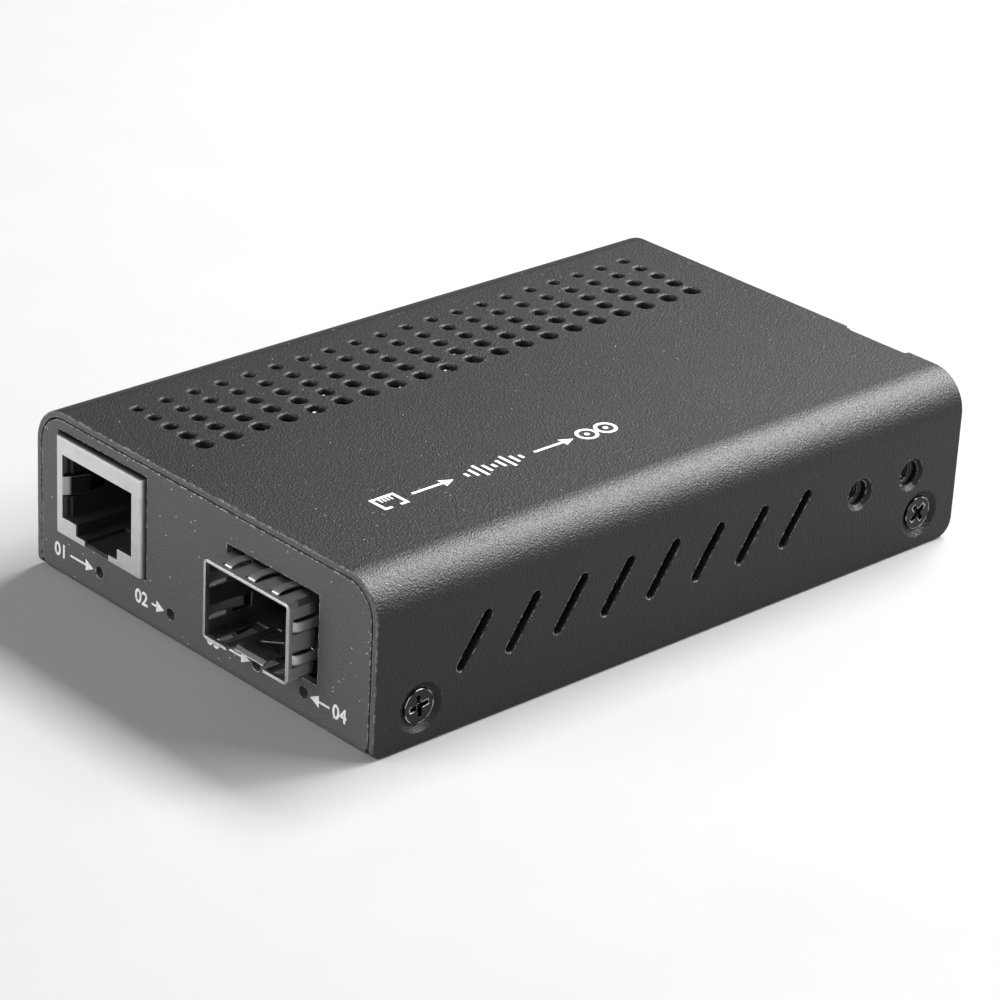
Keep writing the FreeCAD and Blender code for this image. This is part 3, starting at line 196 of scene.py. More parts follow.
def bumps(tree, height, distance, edge_radius=None):
    """A bump normal; with an edge radius, sharp edges look rounded too."""
    inputs = {"Height": height, "Distance": distance, "Strength": 1.0}
    if edge_radius:
        inputs["Normal"] = rounded(tree, edge_radius)
    return put(tree, "ShaderNodeBump", inputs).outputs["Normal"]


# %% [markdown]
# ## Powder coat
#
# The cover is steel with baked powder paint. The powder melts into a skin of tiny soft pebbles, a few
# tenths of a millimetre across. They could be modelled, but there are tens of thousands of them, so a
# bump map draws them: cloudy noise for the pebbles, finer noise for the grain between them, and a few
# pits. A little dust sits on it. The edges are painted bright in places, partly abraded paint and partly
# a painted highlight, most of all at the sheared ends, where the coat is thin and looks greyer.

# %% Powder coat on the cover and the tray
PEBBLE, GRAIN, GRAIN_SHARE, PAINT_EDGE = mm(0.26), mm(0.14), 0.5, mm(0.25)
PIT_SPACING, PIT_SIZE, PIT_SHARE, PIT_DARKNESS = mm(4.5), 0.035, 0.5, 0.3
SPECK_SPACING, SPECK_SIZE, SOFT_RIM = mm(0.9), 0.11, 0.7
PAINT_GLOSS, CLOUD_SCALE, EDGE_PATCH_SCALE, END_WEAR_AND_HIGHLIGHT = 0.3, 60, 1900, 8
# light grey of the edges: partly abraded paint, partly painted highlight
THIN_PAINT, RUBBED_PAINT_AND_HIGHLIGHT = (0.055, 0.055, 0.056), (0.75, 0.75, 0.75)
THIN_RUN, WEAR_AND_HIGHLIGHT_RUN = (mm(0.12), mm(0.04)), (mm(0.5), mm(0.3))


def dust(tree, place, spacing, size, share):
    """1 on sparse round specks: a cell pattern, cut close to its centres, with most cells left out."""
    cells = put(tree, "ShaderNodeTexVoronoi", {"Vector": place, "Scale": 1 / spacing, "Randomness": 1.0})
    near = ramp(tree, cells.outputs["Distance"], size, size * SOFT_RIM)
    pick = put(tree, "ShaderNodeSeparateColor", {"Color": cells.outputs["Color"]}).outputs["Red"]
    return arithmetic(tree, "MULTIPLY", near, arithmetic(tree, "LESS_THAN", pick, share))


def near_ends(tree, place, far, close, start=0.0, end=1.0):
    """A value that changes between two distances from the sheet's front and rear ends."""
    reach = arithmetic(tree, "ABSOLUTE", part_of(tree, place, "Y"))
    return ramp(tree, reach, rear_y - far, rear_y - close, start, end)


def powder_coat(name, colour, roughness, pebble_height, speck_share, speck_tone, wear_and_highlight):
    """Pebbled black paint: dust, pits, edges painted bright (abrasion and highlight), greyer on the sheared
    ends.
    """
    material, tree, shader, place = finish(name, roughness=roughness, colour=colour,
                                           specular_ior_level=PAINT_GLOSS)
    grain = noise(tree, place, 1 / GRAIN)
    pits = dust(tree, place, PIT_SPACING, PIT_SIZE, PIT_SHARE)
    pebbles = noise(tree, place, 1 / PEBBLE, 1.0)
    height = arithmetic(tree, "ADD", arithmetic(tree, "MULTIPLY", grain, GRAIN_SHARE), pebbles)
    height = arithmetic(tree, "SUBTRACT", height, pits)
    cloud = spread(tree, noise(tree, place, CLOUD_SCALE, 3.0), 0.88, 1.12)
    shade = arithmetic(tree, "MULTIPLY", cloud, ramp(tree, pits, 0, 1, 1, PIT_DARKNESS))
    base = blend(tree, near_ends(tree, place, *THIN_RUN), scaled(tree, colour, shade), THIN_PAINT)
    # painted highlight, partly real abrasion: sharp edges brightened in patches, most at the sheet's ends
    patches = ramp(tree, noise(tree, place, EDGE_PATCH_SCALE, 4.0, 0.7), 0.48, 0.58)
    rubbed_and_highlight = arithmetic(tree, "MULTIPLY", sharp_edge_mask(tree, PAINT_EDGE), patches)
    end_wear_and_highlight = near_ends(tree, place, *WEAR_AND_HIGHLIGHT_RUN, wear_and_highlight, END_WEAR_AND_HIGHLIGHT * wear_and_highlight)
    worn_and_highlighted = blend(tree, arithmetic(tree, "MULTIPLY", rubbed_and_highlight, end_wear_and_highlight), base, RUBBED_PAINT_AND_HIGHLIGHT)
    specks = dust(tree, place, SPECK_SPACING, SPECK_SIZE, speck_share)
    feed(tree, shader, blend(tree, specks, worn_and_highlighted, (speck_tone,) * 3),
         spread(tree, grain, roughness - 0.05, roughness + 0.08),
         bumps(tree, height, pebble_height, PAINT_EDGE))
    return material


cover_paint = powder_coat("cover_paint", (0.0045, 0.0045, 0.0048), 0.43, mm(0.085),
                          speck_share=0.13, speck_tone=0.2, wear_and_highlight=0.55)
panel_paint = powder_coat("panel_paint", THIN_PAINT, 0.5, mm(0.08),
                          speck_share=0.42, speck_tone=0.42, wear_and_highlight=0.1)
print("paints:", cover_paint.name, panel_paint.name)


# %% [markdown]
# ## Bright metals
#
# The socket's shield is nickel-plated: pale, a little milky, with rolling grain along the sheet. The
# cage is thin stainless steel, darker and glossier. One recipe makes both, stretched noise for the
# grain and cloudy noise for fingerprints, with different numbers. Cut edges are painted bright, partly
# bare metal and partly a painted highlight. Behind the mouth of a port the colour is darkened as painted
# shade, and the shield's upward faces are darkened as painted shade.

# %% Plated and stainless sheet
# painted shade: how far behind a port's mouth the colour takes to darken
PAINTED_SHADE_RUN = mm(0.35)
CUT_EDGE = mm(0.1)
STREAK_SCALE, SMUDGE_SCALE, STREAK_SPREAD = 9000, 260, 0.1
STREAK_HEIGHT = mm(0.004)
# bright edge colour, partly bare metal and partly painted highlight; dark colour of painted shade on upward
# faces
BARE_STEEL_AND_HIGHLIGHT, UPWARD_SHADE_TONE = (0.85, 0.85, 0.84), (0.02, 0.02, 0.02)
BARE_AND_HIGHLIGHT_SHARE, SMUDGED = 0.8, 0.72


def dimmed(colour, share):
    """A colour with each of its values times a share."""
    return tuple(share * value for value in colour)


def sheet_metal(name, colour, roughness, grain_axis=(0.05, 1.0, 1.0), edge=mm(0.08), painted_shade_from=None,
                painted_shade_share=0.04, upward_painted_shade=0.0):
    """Rolled sheet: streaks, fingerprints, edges brightened as cut metal and highlight; painted shade if
    asked.
    """
    material, tree, shader, place = finish(name, metallic=1.0, roughness=roughness, colour=colour)
    stretched = put(tree, "ShaderNodeMapping", {"Vector": place, "Scale": grain_axis}).outputs["Vector"]
    streaks = noise(tree, stretched, STREAK_SCALE, 3.0, 0.65)
    smudge = noise(tree, place, SMUDGE_SCALE, 4.0, 0.6)
    streaked = spread(tree, streaks, roughness - STREAK_SPREAD, roughness + STREAK_SPREAD)
    rough = arithmetic(tree, "ADD", streaked, ramp(tree, smudge, 0.35, 0.75, -0.03, 0.12))
    tone = blend(tree, ramp(tree, smudge, 0.45, 0.8), colour, dimmed(colour, SMUDGED))
    # painted shade: the colour darkens behind the mouth of a port, where shade falls
    if painted_shade_from is not None:
        inward = ramp(tree, part_of(tree, place, "Y"), painted_shade_from, painted_shade_from + PAINTED_SHADE_RUN)
        tone = blend(tree, inward, tone, dimmed(colour, painted_shade_share))
    # painted highlight, partly bare cut metal: sharp edges are brightened
    bare_and_highlight = arithmetic(tree, "MULTIPLY", sharp_edge_mask(tree, CUT_EDGE, 0.03, 0.2), BARE_AND_HIGHLIGHT_SHARE)
    tone = blend(tree, bare_and_highlight, tone, BARE_STEEL_AND_HIGHLIGHT)
    # painted shade: faces that look upwards are darkened
    if upward_painted_shade:
        upward = part_of(tree, put(tree, "ShaderNodeNewGeometry").outputs["Normal"], "Z")
        tone = blend(tree, ramp(tree, upward, 0.1, 0.6, 0.0, upward_painted_shade), tone, UPWARD_SHADE_TONE)
    feed(tree, shader, tone, rough, bumps(tree, streaks, STREAK_HEIGHT, edge))
    return material


NICKEL = (0.6, 0.6, 0.59)
shield_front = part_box("rj45_shield")[0].y
# painted shade behind the shield's mouth and on its upward faces
shield_plate = sheet_metal("shield_plate", NICKEL, 0.47, edge=mm(0.04), painted_shade_from=shield_front + mm(0.55),
                           upward_painted_shade=0.8)
plated_steel = sheet_metal("plated_steel", NICKEL, 0.34)
# painted shade inside the cage, behind its mouth
stainless_steel = sheet_metal("stainless_steel", (0.55, 0.55, 0.54), 0.36, painted_shade_from=cage_low.y + mm(0.4),
                              painted_shade_share=0.35)
spring_steel = sheet_metal("spring_steel", (0.5, 0.5, 0.49), 0.42)
can_metal = sheet_metal("can_metal", (0.8, 0.8, 0.81), 0.3)
gold_flash = sheet_metal("gold_flash", (0.85, 0.68, 0.4), 0.22)
turned_brass = sheet_metal("turned_brass", (0.72, 0.56, 0.32), 0.3, (1.0, 1.0, 0.05))
print("materials so far:", len(bpy.data.materials))


# %% [markdown]
# ## Blackened screws
#
# The screws are steel with black zinc. A driver has touched them, and the rim and the corners of the
# cross are painted bright, partly abraded metal and partly a painted highlight. The same edge mask
# that brightens the paint's edges does the job here.

# %% Black zinc
ZINC_SCALE, ZINC_HEIGHT, ZINC_EDGE, RIM_WEAR_AND_HIGHLIGHT_RADIUS = 700, mm(0.01), mm(0.1), mm(0.22)


def black_zinc():
    """Dark plated steel; its edges painted bright as abraded metal and as painted highlight."""
    material, tree, shader, place = finish("black_zinc", metallic=1.0, roughness=0.32, colour=(0.1, 0.1, 0.1))
    patches = noise(tree, place, ZINC_SCALE, 3.0)
    # painted highlight, partly real abrasion: the rim and cross edges are brightened in patches
    rim = sharp_edge_mask(tree, RIM_WEAR_AND_HIGHLIGHT_RADIUS, 0.004, 0.07)
    rub_and_highlight = arithmetic(tree, "MULTIPLY", rim, ramp(tree, patches, 0.45, 0.58))
    feed(tree, shader, blend(tree, rub_and_highlight, (0.03, 0.03, 0.03), BARE_STEEL_AND_HIGHLIGHT),
         spread(tree, patches, 0.24, 0.42), bumps(tree, patches, ZINC_HEIGHT, ZINC_EDGE))
    return material


screw_black = black_zinc()
print("screws:", screw_black.name)


# %% [markdown]
# ## Plastics, board and lamps
#
# Moulded plastic has a faint spark-eroded texture and softer highlights than paint. The board is
# glass cloth under nearly black lacquer, and its copper tracks show as slightly raised lines. The lamps
# are dark resin, unlit, so they look nearly black down in their holes.

# %% Plastics, laminate, ceramic, resin and ink
MOULD_SCALE, MOULD_DEPTH, MOULD_EDGE, TINT_SCALE = 4500, mm(0.008), mm(0.1), 300
TRACK_SCALE, TRACK_PITCH, TRACK_WIDTH, TRACK_HEIGHT = 420, 0.12, 0.045, mm(0.02)
RESIN_SCALE, INK_SCALE = 2500, 3500


def moulded(name, colour, roughness):
    """Fine-textured plastic or ceramic."""
    material, tree, shader, place = finish(name, roughness=roughness, colour=colour)
    grain = noise(tree, place, MOULD_SCALE, 3.0)
    tint = spread(tree, noise(tree, place, TINT_SCALE), 0.9, 1.12)
    feed(tree, shader, scaled(tree, colour, tint),
         spread(tree, grain, roughness - 0.06, roughness + 0.08),
         bumps(tree, grain, MOULD_DEPTH, MOULD_EDGE))
    return material


def laminate():
    """Black-green lacquered board with tracks that run along and across it."""
    material, tree, shader, place = finish("laminate", roughness=0.4, colour=(0.005, 0.01, 0.007))
    cells = put(tree, "ShaderNodeTexVoronoi", {"Vector": place, "Scale": TRACK_SCALE, "Randomness": 0.35},
                feature="F1", distance="CHEBYCHEV").outputs["Distance"]
    track = arithmetic(tree, "LESS_THAN", arithmetic(tree, "PINGPONG", cells, TRACK_PITCH), TRACK_WIDTH)
    feed(tree, shader, blend(tree, track, (0.004, 0.009, 0.006), (0.008, 0.02, 0.012)),
         normal=bumps(tree, track, TRACK_HEIGHT))
    return material


def dark_resin():
    """Smooth resin of an unlit lamp, with a slightly uneven gloss."""
    material, tree, shader, place = finish("lamp_resin", roughness=0.12, colour=(0.004, 0.004, 0.004),
                                           specular_ior_level=0.07)
    feed(tree, shader, roughness=spread(tree, noise(tree, place, RESIN_SCALE), 0.08, 0.2))
    return material


def print_ink():
    """White screen ink, thinner in places."""
    material, tree, shader, place = finish("print_ink", roughness=0.5)
    cover = ramp(tree, noise(tree, place, INK_SCALE, 3.0), 0.35, 0.65)
    feed(tree, shader, blend(tree, cover, (0.4, 0.4, 0.4), (0.6, 0.6, 0.6)))
    return material


black_plastic = moulded("black_plastic", (0.008, 0.008, 0.0085), 0.52)
chip_plastic = moulded("chip_plastic", (0.022, 0.022, 0.023), 0.55)
ceramic = moulded("ceramic", (0.42, 0.33, 0.24), 0.4)
board_laminate = laminate()
lamp_resin = dark_resin()
ink = print_ink()
print("materials so far:", len(bpy.data.materials))


# %% [markdown]
# ## Dressing the frame
#
# Every piece of the frame keeps its shape and only changes its coat, so a table of piece and
# material is all that this step needs.

# %% A finish for every piece
coats = {
    "top_cover": cover_paint, "base_tray": panel_paint, "circuit_board": board_laminate,
    "cover_screws": screw_black, "board_screws": plated_steel, "standoffs": turned_brass,
    "rj45_shield": shield_plate, "rj45_housing": black_plastic, "rj45_contacts": gold_flash,
    "sfp_cage": stainless_steel, "sfp_collar": spring_steel, "sfp_eject_springs": spring_steel,
    "sfp_connector": black_plastic, "sfp_contacts": gold_flash,
    "dc_jack_body": black_plastic, "dc_jack_pin": plated_steel, "dc_jack_spring": plated_steel,
    "crystal_can": can_metal, "can_capacitor_1": can_metal, "can_capacitor_2": can_metal,
    "can_capacitor_3": can_metal, "ceramic_capacitors": ceramic, "input_fuse": ceramic,
}
for name, piece in nodes.items():
    coat = lamp_resin if name.startswith("status_light") else coats.get(name, chip_plastic)
    for slot in piece.material_slots:
        slot.material = coat
print("dressed:", len(nodes))


# %% [markdown]
# ## A shorthand for rules
#
# What repeats is made by a rule and not by hand: a Geometry Nodes tree with named inputs. A small mesh
# says where the copies go, the tree builds and places them, and the result is then frozen into a
# plain mesh.

# %% Helpers for node trees
CRISP_ANGLE = math.radians(40)


def new_rule(name, **inputs):
    """An empty tree with a geometry input and output, and named inputs of the given values."""
    tree = bpy.data.node_groups.new(name, "GeometryNodeTree")
    tree.interface.new_socket("Geometry", in_out="INPUT", socket_type="NodeSocketGeometry")
    for label, value in inputs.items():
        kind = "NodeSocketInt" if isinstance(value, int) else "NodeSocketFloat"
        socket = tree.interface.new_socket(label.capitalize(), in_out="INPUT", socket_type=kind)
        socket.default_value = value
    tree.interface.new_socket("Material", in_out="INPUT", socket_type="NodeSocketMaterial")
    tree.interface.new_socket("Geometry", in_out="OUTPUT", socket_type="NodeSocketGeometry")
    return tree, put(tree, "NodeGroupInput").outputs


def close_rule(tree, given, geometry):
    """Makes the copies real, gives them the material and ends the tree."""
    real = put(tree, "GeometryNodeRealizeInstances", {"Geometry": geometry}).outputs["Geometry"]
    coated = put(tree, "GeometryNodeSetMaterial", {"Geometry": real, "Material": given["Material"]})
    put(tree, "NodeGroupOutput", {"Geometry": coated.outputs["Geometry"]})


def new_piece(name, shape):
    """A mesh or a curve as a new piece at the origin."""
    piece = bpy.data.objects.new(name, shape)
    bpy.context.scene.collection.objects.link(piece)
    return piece


def grow(name, tree, material, seeds):
    """Runs a tree on a seed mesh and freezes the result into a plain piece at the origin."""
    piece = new_piece(name, seeds)
    modifier = piece.modifiers.new("rule", "NODES")
    modifier.node_group = tree
    for socket in tree.interface.items_tree:
        if socket.name == "Material":
            modifier[socket.identifier] = material
    evaluated = piece.evaluated_get(bpy.context.evaluated_depsgraph_get())
    mesh = bpy.data.meshes.new_from_object(evaluated)
    piece.modifiers.clear()
    piece.data = mesh
    smooth(mesh)
    print(name, "faces:", len(mesh.polygons))
    return piece


def smooth(mesh):
    """Smooth shading, with sharp edges kept crisp."""
    mesh.polygons.foreach_set("use_smooth", [True] * len(mesh.polygons))
    mesh.set_sharp_from_angle(angle=CRISP_ANGLE)


def seeds_at(places, **attributes):
    """A mesh of loose points, with one number for each point under each name."""
    mesh = bpy.data.meshes.new("seeds")
    mesh.from_pydata([tuple(p) for p in places], [], [])
    for name, values in attributes.items():
        attribute = mesh.attributes.new(name, "FLOAT", "POINT")
        attribute.data.foreach_set("value", list(values))
    return mesh


def noted(tree, name, kind="FLOAT"):
    """What is noted on a mesh under a name."""
    return put(tree, "GeometryNodeInputNamedAttribute", {"Name": name}, data_type=kind).outputs["Attribute"]


def turned_copies(tree, seeds, instance, axis):
    """Copies of a shape on the seed points, each turned about an axis by its seed's own angle."""
    spin = put(tree, "ShaderNodeCombineXYZ", {axis: noted(tree, "turn")}).outputs["Vector"]
    rotation = put(tree, "FunctionNodeEulerToRotation", {"Euler": spin}).outputs["Rotation"]
    return put(tree, "GeometryNodeInstanceOnPoints",
               {"Points": seeds, "Instance": instance, "Rotation": rotation}).outputs["Instances"]


# %% [markdown]
# ## Rolled lips on the cooling holes
#
# Paint builds up where a sheet is punched, and rolls over the edge in a soft lip that catches a line
# of light. A hundred holes stand in five columns, and each column's holes are larger than the last.
# Modelling every lip would be slow, and they all share one section, so a rule sweeps that section
# along a circle, puts the ring in every hole and pushes it out to the hole's own size.

# %% The lip's profile
LIP_ROLL, LIP_TURNS = mm(0.2), 4
SHEET = mm(0.8)  # how deep a lip reaches: the cover's wall
FILM = mm(0.004)  # how far a lip stands proud of the paint
WELD = mm(0.003)  # points nearer than this are one point


def lip_profile(name, inward, outward):
    """Section of a lip, from deep in the opening, up the wall, round the roll and out over the face."""
    centre = LIP_ROLL - inward
    bend = [math.pi - math.pi / 2 * n / LIP_TURNS for n in range(LIP_TURNS + 1)]
    points = [(-inward, SHEET)]
    points += [(centre + LIP_ROLL * math.cos(a), LIP_ROLL * (1 - math.sin(a))) for a in bend]
    points.append((outward, 0.0))
    curve = bpy.data.curves.new(name, "CURVE")
    spline = curve.splines.new("POLY")
    spline.points.add(len(points) - 1)
    for point, (across, down) in zip(spline.points, points):
        point.co = (across, down, 0, 1)
    return new_piece(name, curve)


def swept(tree, outline, profile):
    """The profile object's curve, swept along an outline and closed."""
    section = put(tree, "GeometryNodeObjectInfo", {"Object": profile}).outputs["Geometry"]
    lip = put(tree, "GeometryNodeCurveToMesh", {"Curve": outline, "Profile Curve": section}).outputs["Mesh"]
    merged = put(tree, "GeometryNodeMergeByDistance", {"Geometry": lip, "Distance": WELD})
    return merged.outputs["Geometry"]


# %% Vent lips
VENT_COLUMNS, VENT_ROWS = 5, 20
VENT_PITCH_X, VENT_PITCH_Y = mm(3.08), mm(4.15)
VENT_FIRST_X = cover_low.x + mm(9.1)
VENT_RADIUS, VENT_GROWTH, VENT_STEPS = mm(0.75), mm(0.1), 24
VENT_LIP_IN, VENT_LIP_OUT = mm(0.08), mm(0.2)


def vent_lips():
    """Rolled lips in the mouths of the round holes; each column's rings are pushed outwards to its size."""
    profile = lip_profile("vent section", VENT_LIP_IN, VENT_LIP_OUT)
    tree, given = new_rule("vent rule", radius=VENT_RADIUS, steps=VENT_STEPS)
    ring = put(tree, "GeometryNodeCurvePrimitiveCircle",
               {"Resolution": given["Steps"], "Radius": given["Radius"]}).outputs["Curve"]
    lip = swept(tree, ring, profile)
    place = put(tree, "GeometryNodeInputPosition").outputs["Position"]
    flat = put(tree, "ShaderNodeVectorMath", {0: place, 1: (1, 1, 0)}, operation="MULTIPLY").outputs[0]
    away = put(tree, "ShaderNodeVectorMath", {0: flat}, operation="NORMALIZE").outputs[0]
    marked = put(tree, "GeometryNodeStoreNamedAttribute", {"Geometry": lip, "Name": "away", "Value": away},
                 data_type="FLOAT_VECTOR").outputs["Geometry"]
    copies = put(tree, "GeometryNodeInstanceOnPoints",
                 {"Points": given["Geometry"], "Instance": marked}).outputs["Instances"]
    real = put(tree, "GeometryNodeRealizeInstances", {"Geometry": copies}).outputs["Geometry"]
    push = scaled(tree, noted(tree, "away", "FLOAT_VECTOR"), noted(tree, "growth"))
    grown = put(tree, "GeometryNodeSetPosition", {"Geometry": real, "Offset": push}).outputs["Geometry"]
    close_rule(tree, given, grown)
    middle = (front_y + rear_y) / 2
    cells = [(c, r) for c in range(VENT_COLUMNS) for r in range(VENT_ROWS)]
    places = [(VENT_FIRST_X + c * VENT_PITCH_X, middle + (r - (VENT_ROWS - 1) / 2) * VENT_PITCH_Y,
               top_z + FILM) for c, r in cells]
    piece = grow("vent_lips", tree, cover_paint, seeds_at(places, growth=[c * VENT_GROWTH for c, r in cells]))
    bpy.data.objects.remove(profile)
    return piece


rims = vent_lips()


# %% [markdown]
# ## Lips on the leaning slots
#
# Eight slots lean along each side and have the same rolled lip. They could be drawn one by one, but a
# slot is only a narrow rectangle with round ends. So the rule fillets a rectangle, sweeps the section
# along it, stands it on the side and turns each copy by the lean.

# %% Slot lips
SLOT_COUNT, SLOT_PITCH, SLOT_FIRST = 8, mm(7.29), front_y + mm(14.3)
SLOT_Z, SLOT_LENGTH, SLOT_WIDTH = mm(10.55), mm(7.8), mm(1.4)
SLOT_LEAN = math.radians(35)
SLOT_LIP_IN, SLOT_LIP_OUT, SLOT_END_STEPS = mm(0.06), mm(0.22), 8


def slot_lips_on(name, side):
    """Rolled lips round the leaning slots of one side."""
    profile = lip_profile("slot section", SLOT_LIP_IN, SLOT_LIP_OUT)
    tree, given = new_rule(name + " rule", width=SLOT_WIDTH, length=SLOT_LENGTH, facing=side * math.pi / 2)
    box = put(tree, "GeometryNodeCurvePrimitiveQuadrilateral",
              {"Width": given["Width"], "Height": given["Length"]}).outputs["Curve"]
    half = arithmetic(tree, "MULTIPLY", given["Width"], 0.5)
    outline = put(tree, "GeometryNodeFilletCurve", {"Curve": box, "Radius": half, "Count": SLOT_END_STEPS},
                  mode="POLY").outputs["Curve"]
    lip = swept(tree, outline, profile)
    upright = put(tree, "ShaderNodeCombineXYZ", {"X": math.pi / 2, "Z": given["Facing"]}).outputs["Vector"]
    stood = put(tree, "GeometryNodeTransform", {"Geometry": lip, "Rotation": upright}).outputs["Geometry"]
    close_rule(tree, given, turned_copies(tree, given["Geometry"], stood, "X"))
    places = [(side * (side_x + FILM), SLOT_FIRST + n * SLOT_PITCH, SLOT_Z) for n in range(SLOT_COUNT)]
    piece = grow(name, tree, cover_paint, seeds_at(places, turn=[-SLOT_LEAN] * SLOT_COUNT))
    bpy.data.objects.remove(profile)
    return piece


slot_lips = [slot_lips_on("slot_lips_right", 1), slot_lips_on("slot_lips_left", -1)]


# %% [markdown]
# ## Threads in the side holes
#
# The two holes near the back of each side are tapped for accessory screws. The frame has them as plain
# bores. A thread is a helix, and Blender has a spiral curve, so the rule sweeps a thin round section
# along one and lays a copy in each bore. The record of the part says where the bores are.

# %% Thread turns
THREAD_PITCH, THREAD_WIRE = mm(0.5), mm(0.13)
TURN_STEPS, WIRE_STEPS = 24, 6


def thread_turns():
    """Helical ridges inside the four tapped holes."""
    holes = [m for m in frame["record"]["mounts"] if m["kind"] == "threaded_hole"]
    dims = holes[0]["dims"]
    radius, length = mm(dims["r_mm"]), mm(dims["length_mm"])
    tree, given = new_rule("thread rule", radius=radius, length=length, turns=length / THREAD_PITCH,
                           wire=THREAD_WIRE)
    spiral = put(tree, "GeometryNodeCurveSpiral",
                 {"Resolution": TURN_STEPS, "Rotations": given["Turns"], "Start Radius": given["Radius"],
                  "End Radius": given["Radius"], "Height": given["Length"]}).outputs["Curve"]
    wire = put(tree, "GeometryNodeCurvePrimitiveCircle", {"Resolution": WIRE_STEPS, "Radius": given["Wire"]})
    ridge = put(tree, "GeometryNodeCurveToMesh", {"Curve": spiral, "Profile Curve": wire.outputs["Curve"],
                                                  "Fill Caps": True}).outputs["Mesh"]
    close_rule(tree, given, turned_copies(tree, given["Geometry"], ridge, "Y"))
    places = [Vector(m["pos_m"]) - Vector(m["axis"]) * length / 2 for m in holes]
    turns = [m["axis"][0] * math.pi / 2 for m in holes]
    return grow("accessory_threads", tree, thread_steel, seeds_at(places, turn=turns))


thread_steel = sheet_metal("thread_steel", (0.04, 0.04, 0.04), 0.3)
threads = thread_turns()


# %% [markdown]
# ## The sprung collar
#
# Round the mouth of the cage sits a collar of thin spring steel. Nine of its tongues are pressed up
# into low arches that touch the panel and earth the cage. They could be cut and bent by hand, but
# they are all alike, so a rule bends a small grid into one arch and copies it to every side.

# %% Spring arches
COLLAR_SHEET = mm(0.15)
FINGER_WIDTH, FINGER_SLIT = mm(1.25), mm(0.3)
FINGER_ROOT, FINGER_LENGTH, FINGER_RISE = mm(0.75), mm(5.0), mm(0.42)
FINGER_SKEW, FINGER_FLARE = 0.6, 1.15
ARCH_COLUMNS, ARCH_ROWS = 6, 29
FINGER_PITCH, FINGER_PITCH_BELOW = mm(4.05), mm(9.9)
collar_mid = (collar_low + collar_high) / 2
skin_x = (cage_high.x - cage_low.x + COLLAR_SHEET) / 2
skin_z = cage_high.z - collar_mid.z + COLLAR_SHEET / 2


def arches():
    """Nine pressed arches, highest near their front: three above, two below and two on each side."""
    tree, given = new_rule("arch rule", width=FINGER_WIDTH, length=FINGER_LENGTH, rise=FINGER_RISE,
                           skew=FINGER_SKEW, flare=FINGER_FLARE)
    sheet = put(tree, "GeometryNodeMeshGrid",
                {"Size X": given["Width"], "Size Y": given["Length"],
                 "Vertices X": ARCH_COLUMNS, "Vertices Y": ARCH_ROWS}).outputs["Mesh"]
    along = part_of(tree, put(tree, "GeometryNodeInputPosition").outputs["Position"], "Y")
    share = arithmetic(tree, "ADD", arithmetic(tree, "DIVIDE", along, given["Length"]), 0.5)
    skewed = arithmetic(tree, "POWER", share, given["Skew"])
    wave = arithmetic(tree, "SINE", arithmetic(tree, "MULTIPLY", skewed, math.pi))
    lift = arithmetic(tree, "MULTIPLY", arithmetic(tree, "POWER", wave, given["Flare"]), given["Rise"])
    half = arithmetic(tree, "MULTIPLY", given["Length"], 0.5)
    offset = put(tree, "ShaderNodeCombineXYZ", {"Y": half, "Z": lift}).outputs["Vector"]
    arch = put(tree, "GeometryNodeSetPosition", {"Geometry": sheet, "Offset": offset}).outputs["Geometry"]
    close_rule(tree, given, turned_copies(tree, given["Geometry"], arch, "Y"))
    root = collar_low.y + FINGER_ROOT
    spots = [(n * FINGER_PITCH, skin_z, 0.0) for n in (-1, 0, 1)]
    spots += [(n * FINGER_PITCH_BELOW, -skin_z, math.pi) for n in (-0.5, 0.5)]
    spots += [(side * skin_x, n * FINGER_PITCH, side * math.pi / 2) for side in (-1, 1) for n in (-0.5, 0.5)]
    places = [(collar_mid.x + x, root, collar_mid.z + z) for x, z, turn in spots]
    return grow("arches", tree, spring_steel, seeds_at(places, turn=[turn for x, z, turn in spots]))


# %% [markdown]
# ## The collar's lands
#
# Between the arches lie flat lands with rounded ends, and at the corners the sheet follows the cage
# round. Cutting them from a whole sheet tears easily when the sheet is so thin. So a short function
# walks along the collar's section and lays a strip on each stretch. Lands and arches are joined, and
# a Solidify modifier gives the sheet its thickness.

# %% Lands and corners of the collar
CORNER = mm(0.525)
LAND_LENGTH, LAND_ROUND, CORNER_LENGTH = mm(3.8), mm(0.45), mm(1.6)
FLOOR_GAP = mm(6.5)
BAND_ROWS, LAND_ROWS, LAND_COLUMNS, BAND_COLUMNS = 3, 4, 16, 6
LEAST_LAND, COLLAR_WELD = mm(0.05), mm(0.004)
flat_x, flat_z = skin_x - CORNER, skin_z - CORNER
quarter = CORNER * math.pi / 2
stretch = [flat_x, quarter, 2 * flat_z, quarter, 2 * flat_x, quarter, 2 * flat_z, quarter, flat_x]


def skin_point(distance):
    """Point of the collar's section, this far along it from the middle of its floor."""
    heading, x, z = 0.0, 0.0, -skin_z
    for index, run in enumerate(stretch):
        step = min(distance, run)
        if index % 2:
            swing = step / CORNER
            x += CORNER * (math.sin(heading + swing) - math.sin(heading))
            z += CORNER * (math.cos(heading) - math.cos(heading + swing))
            heading += swing
        else:
            x += step * math.cos(heading)
            z += step * math.sin(heading)
        distance -= step
        if distance <= 0:
            break
    return collar_mid.x + x, collar_mid.z + z


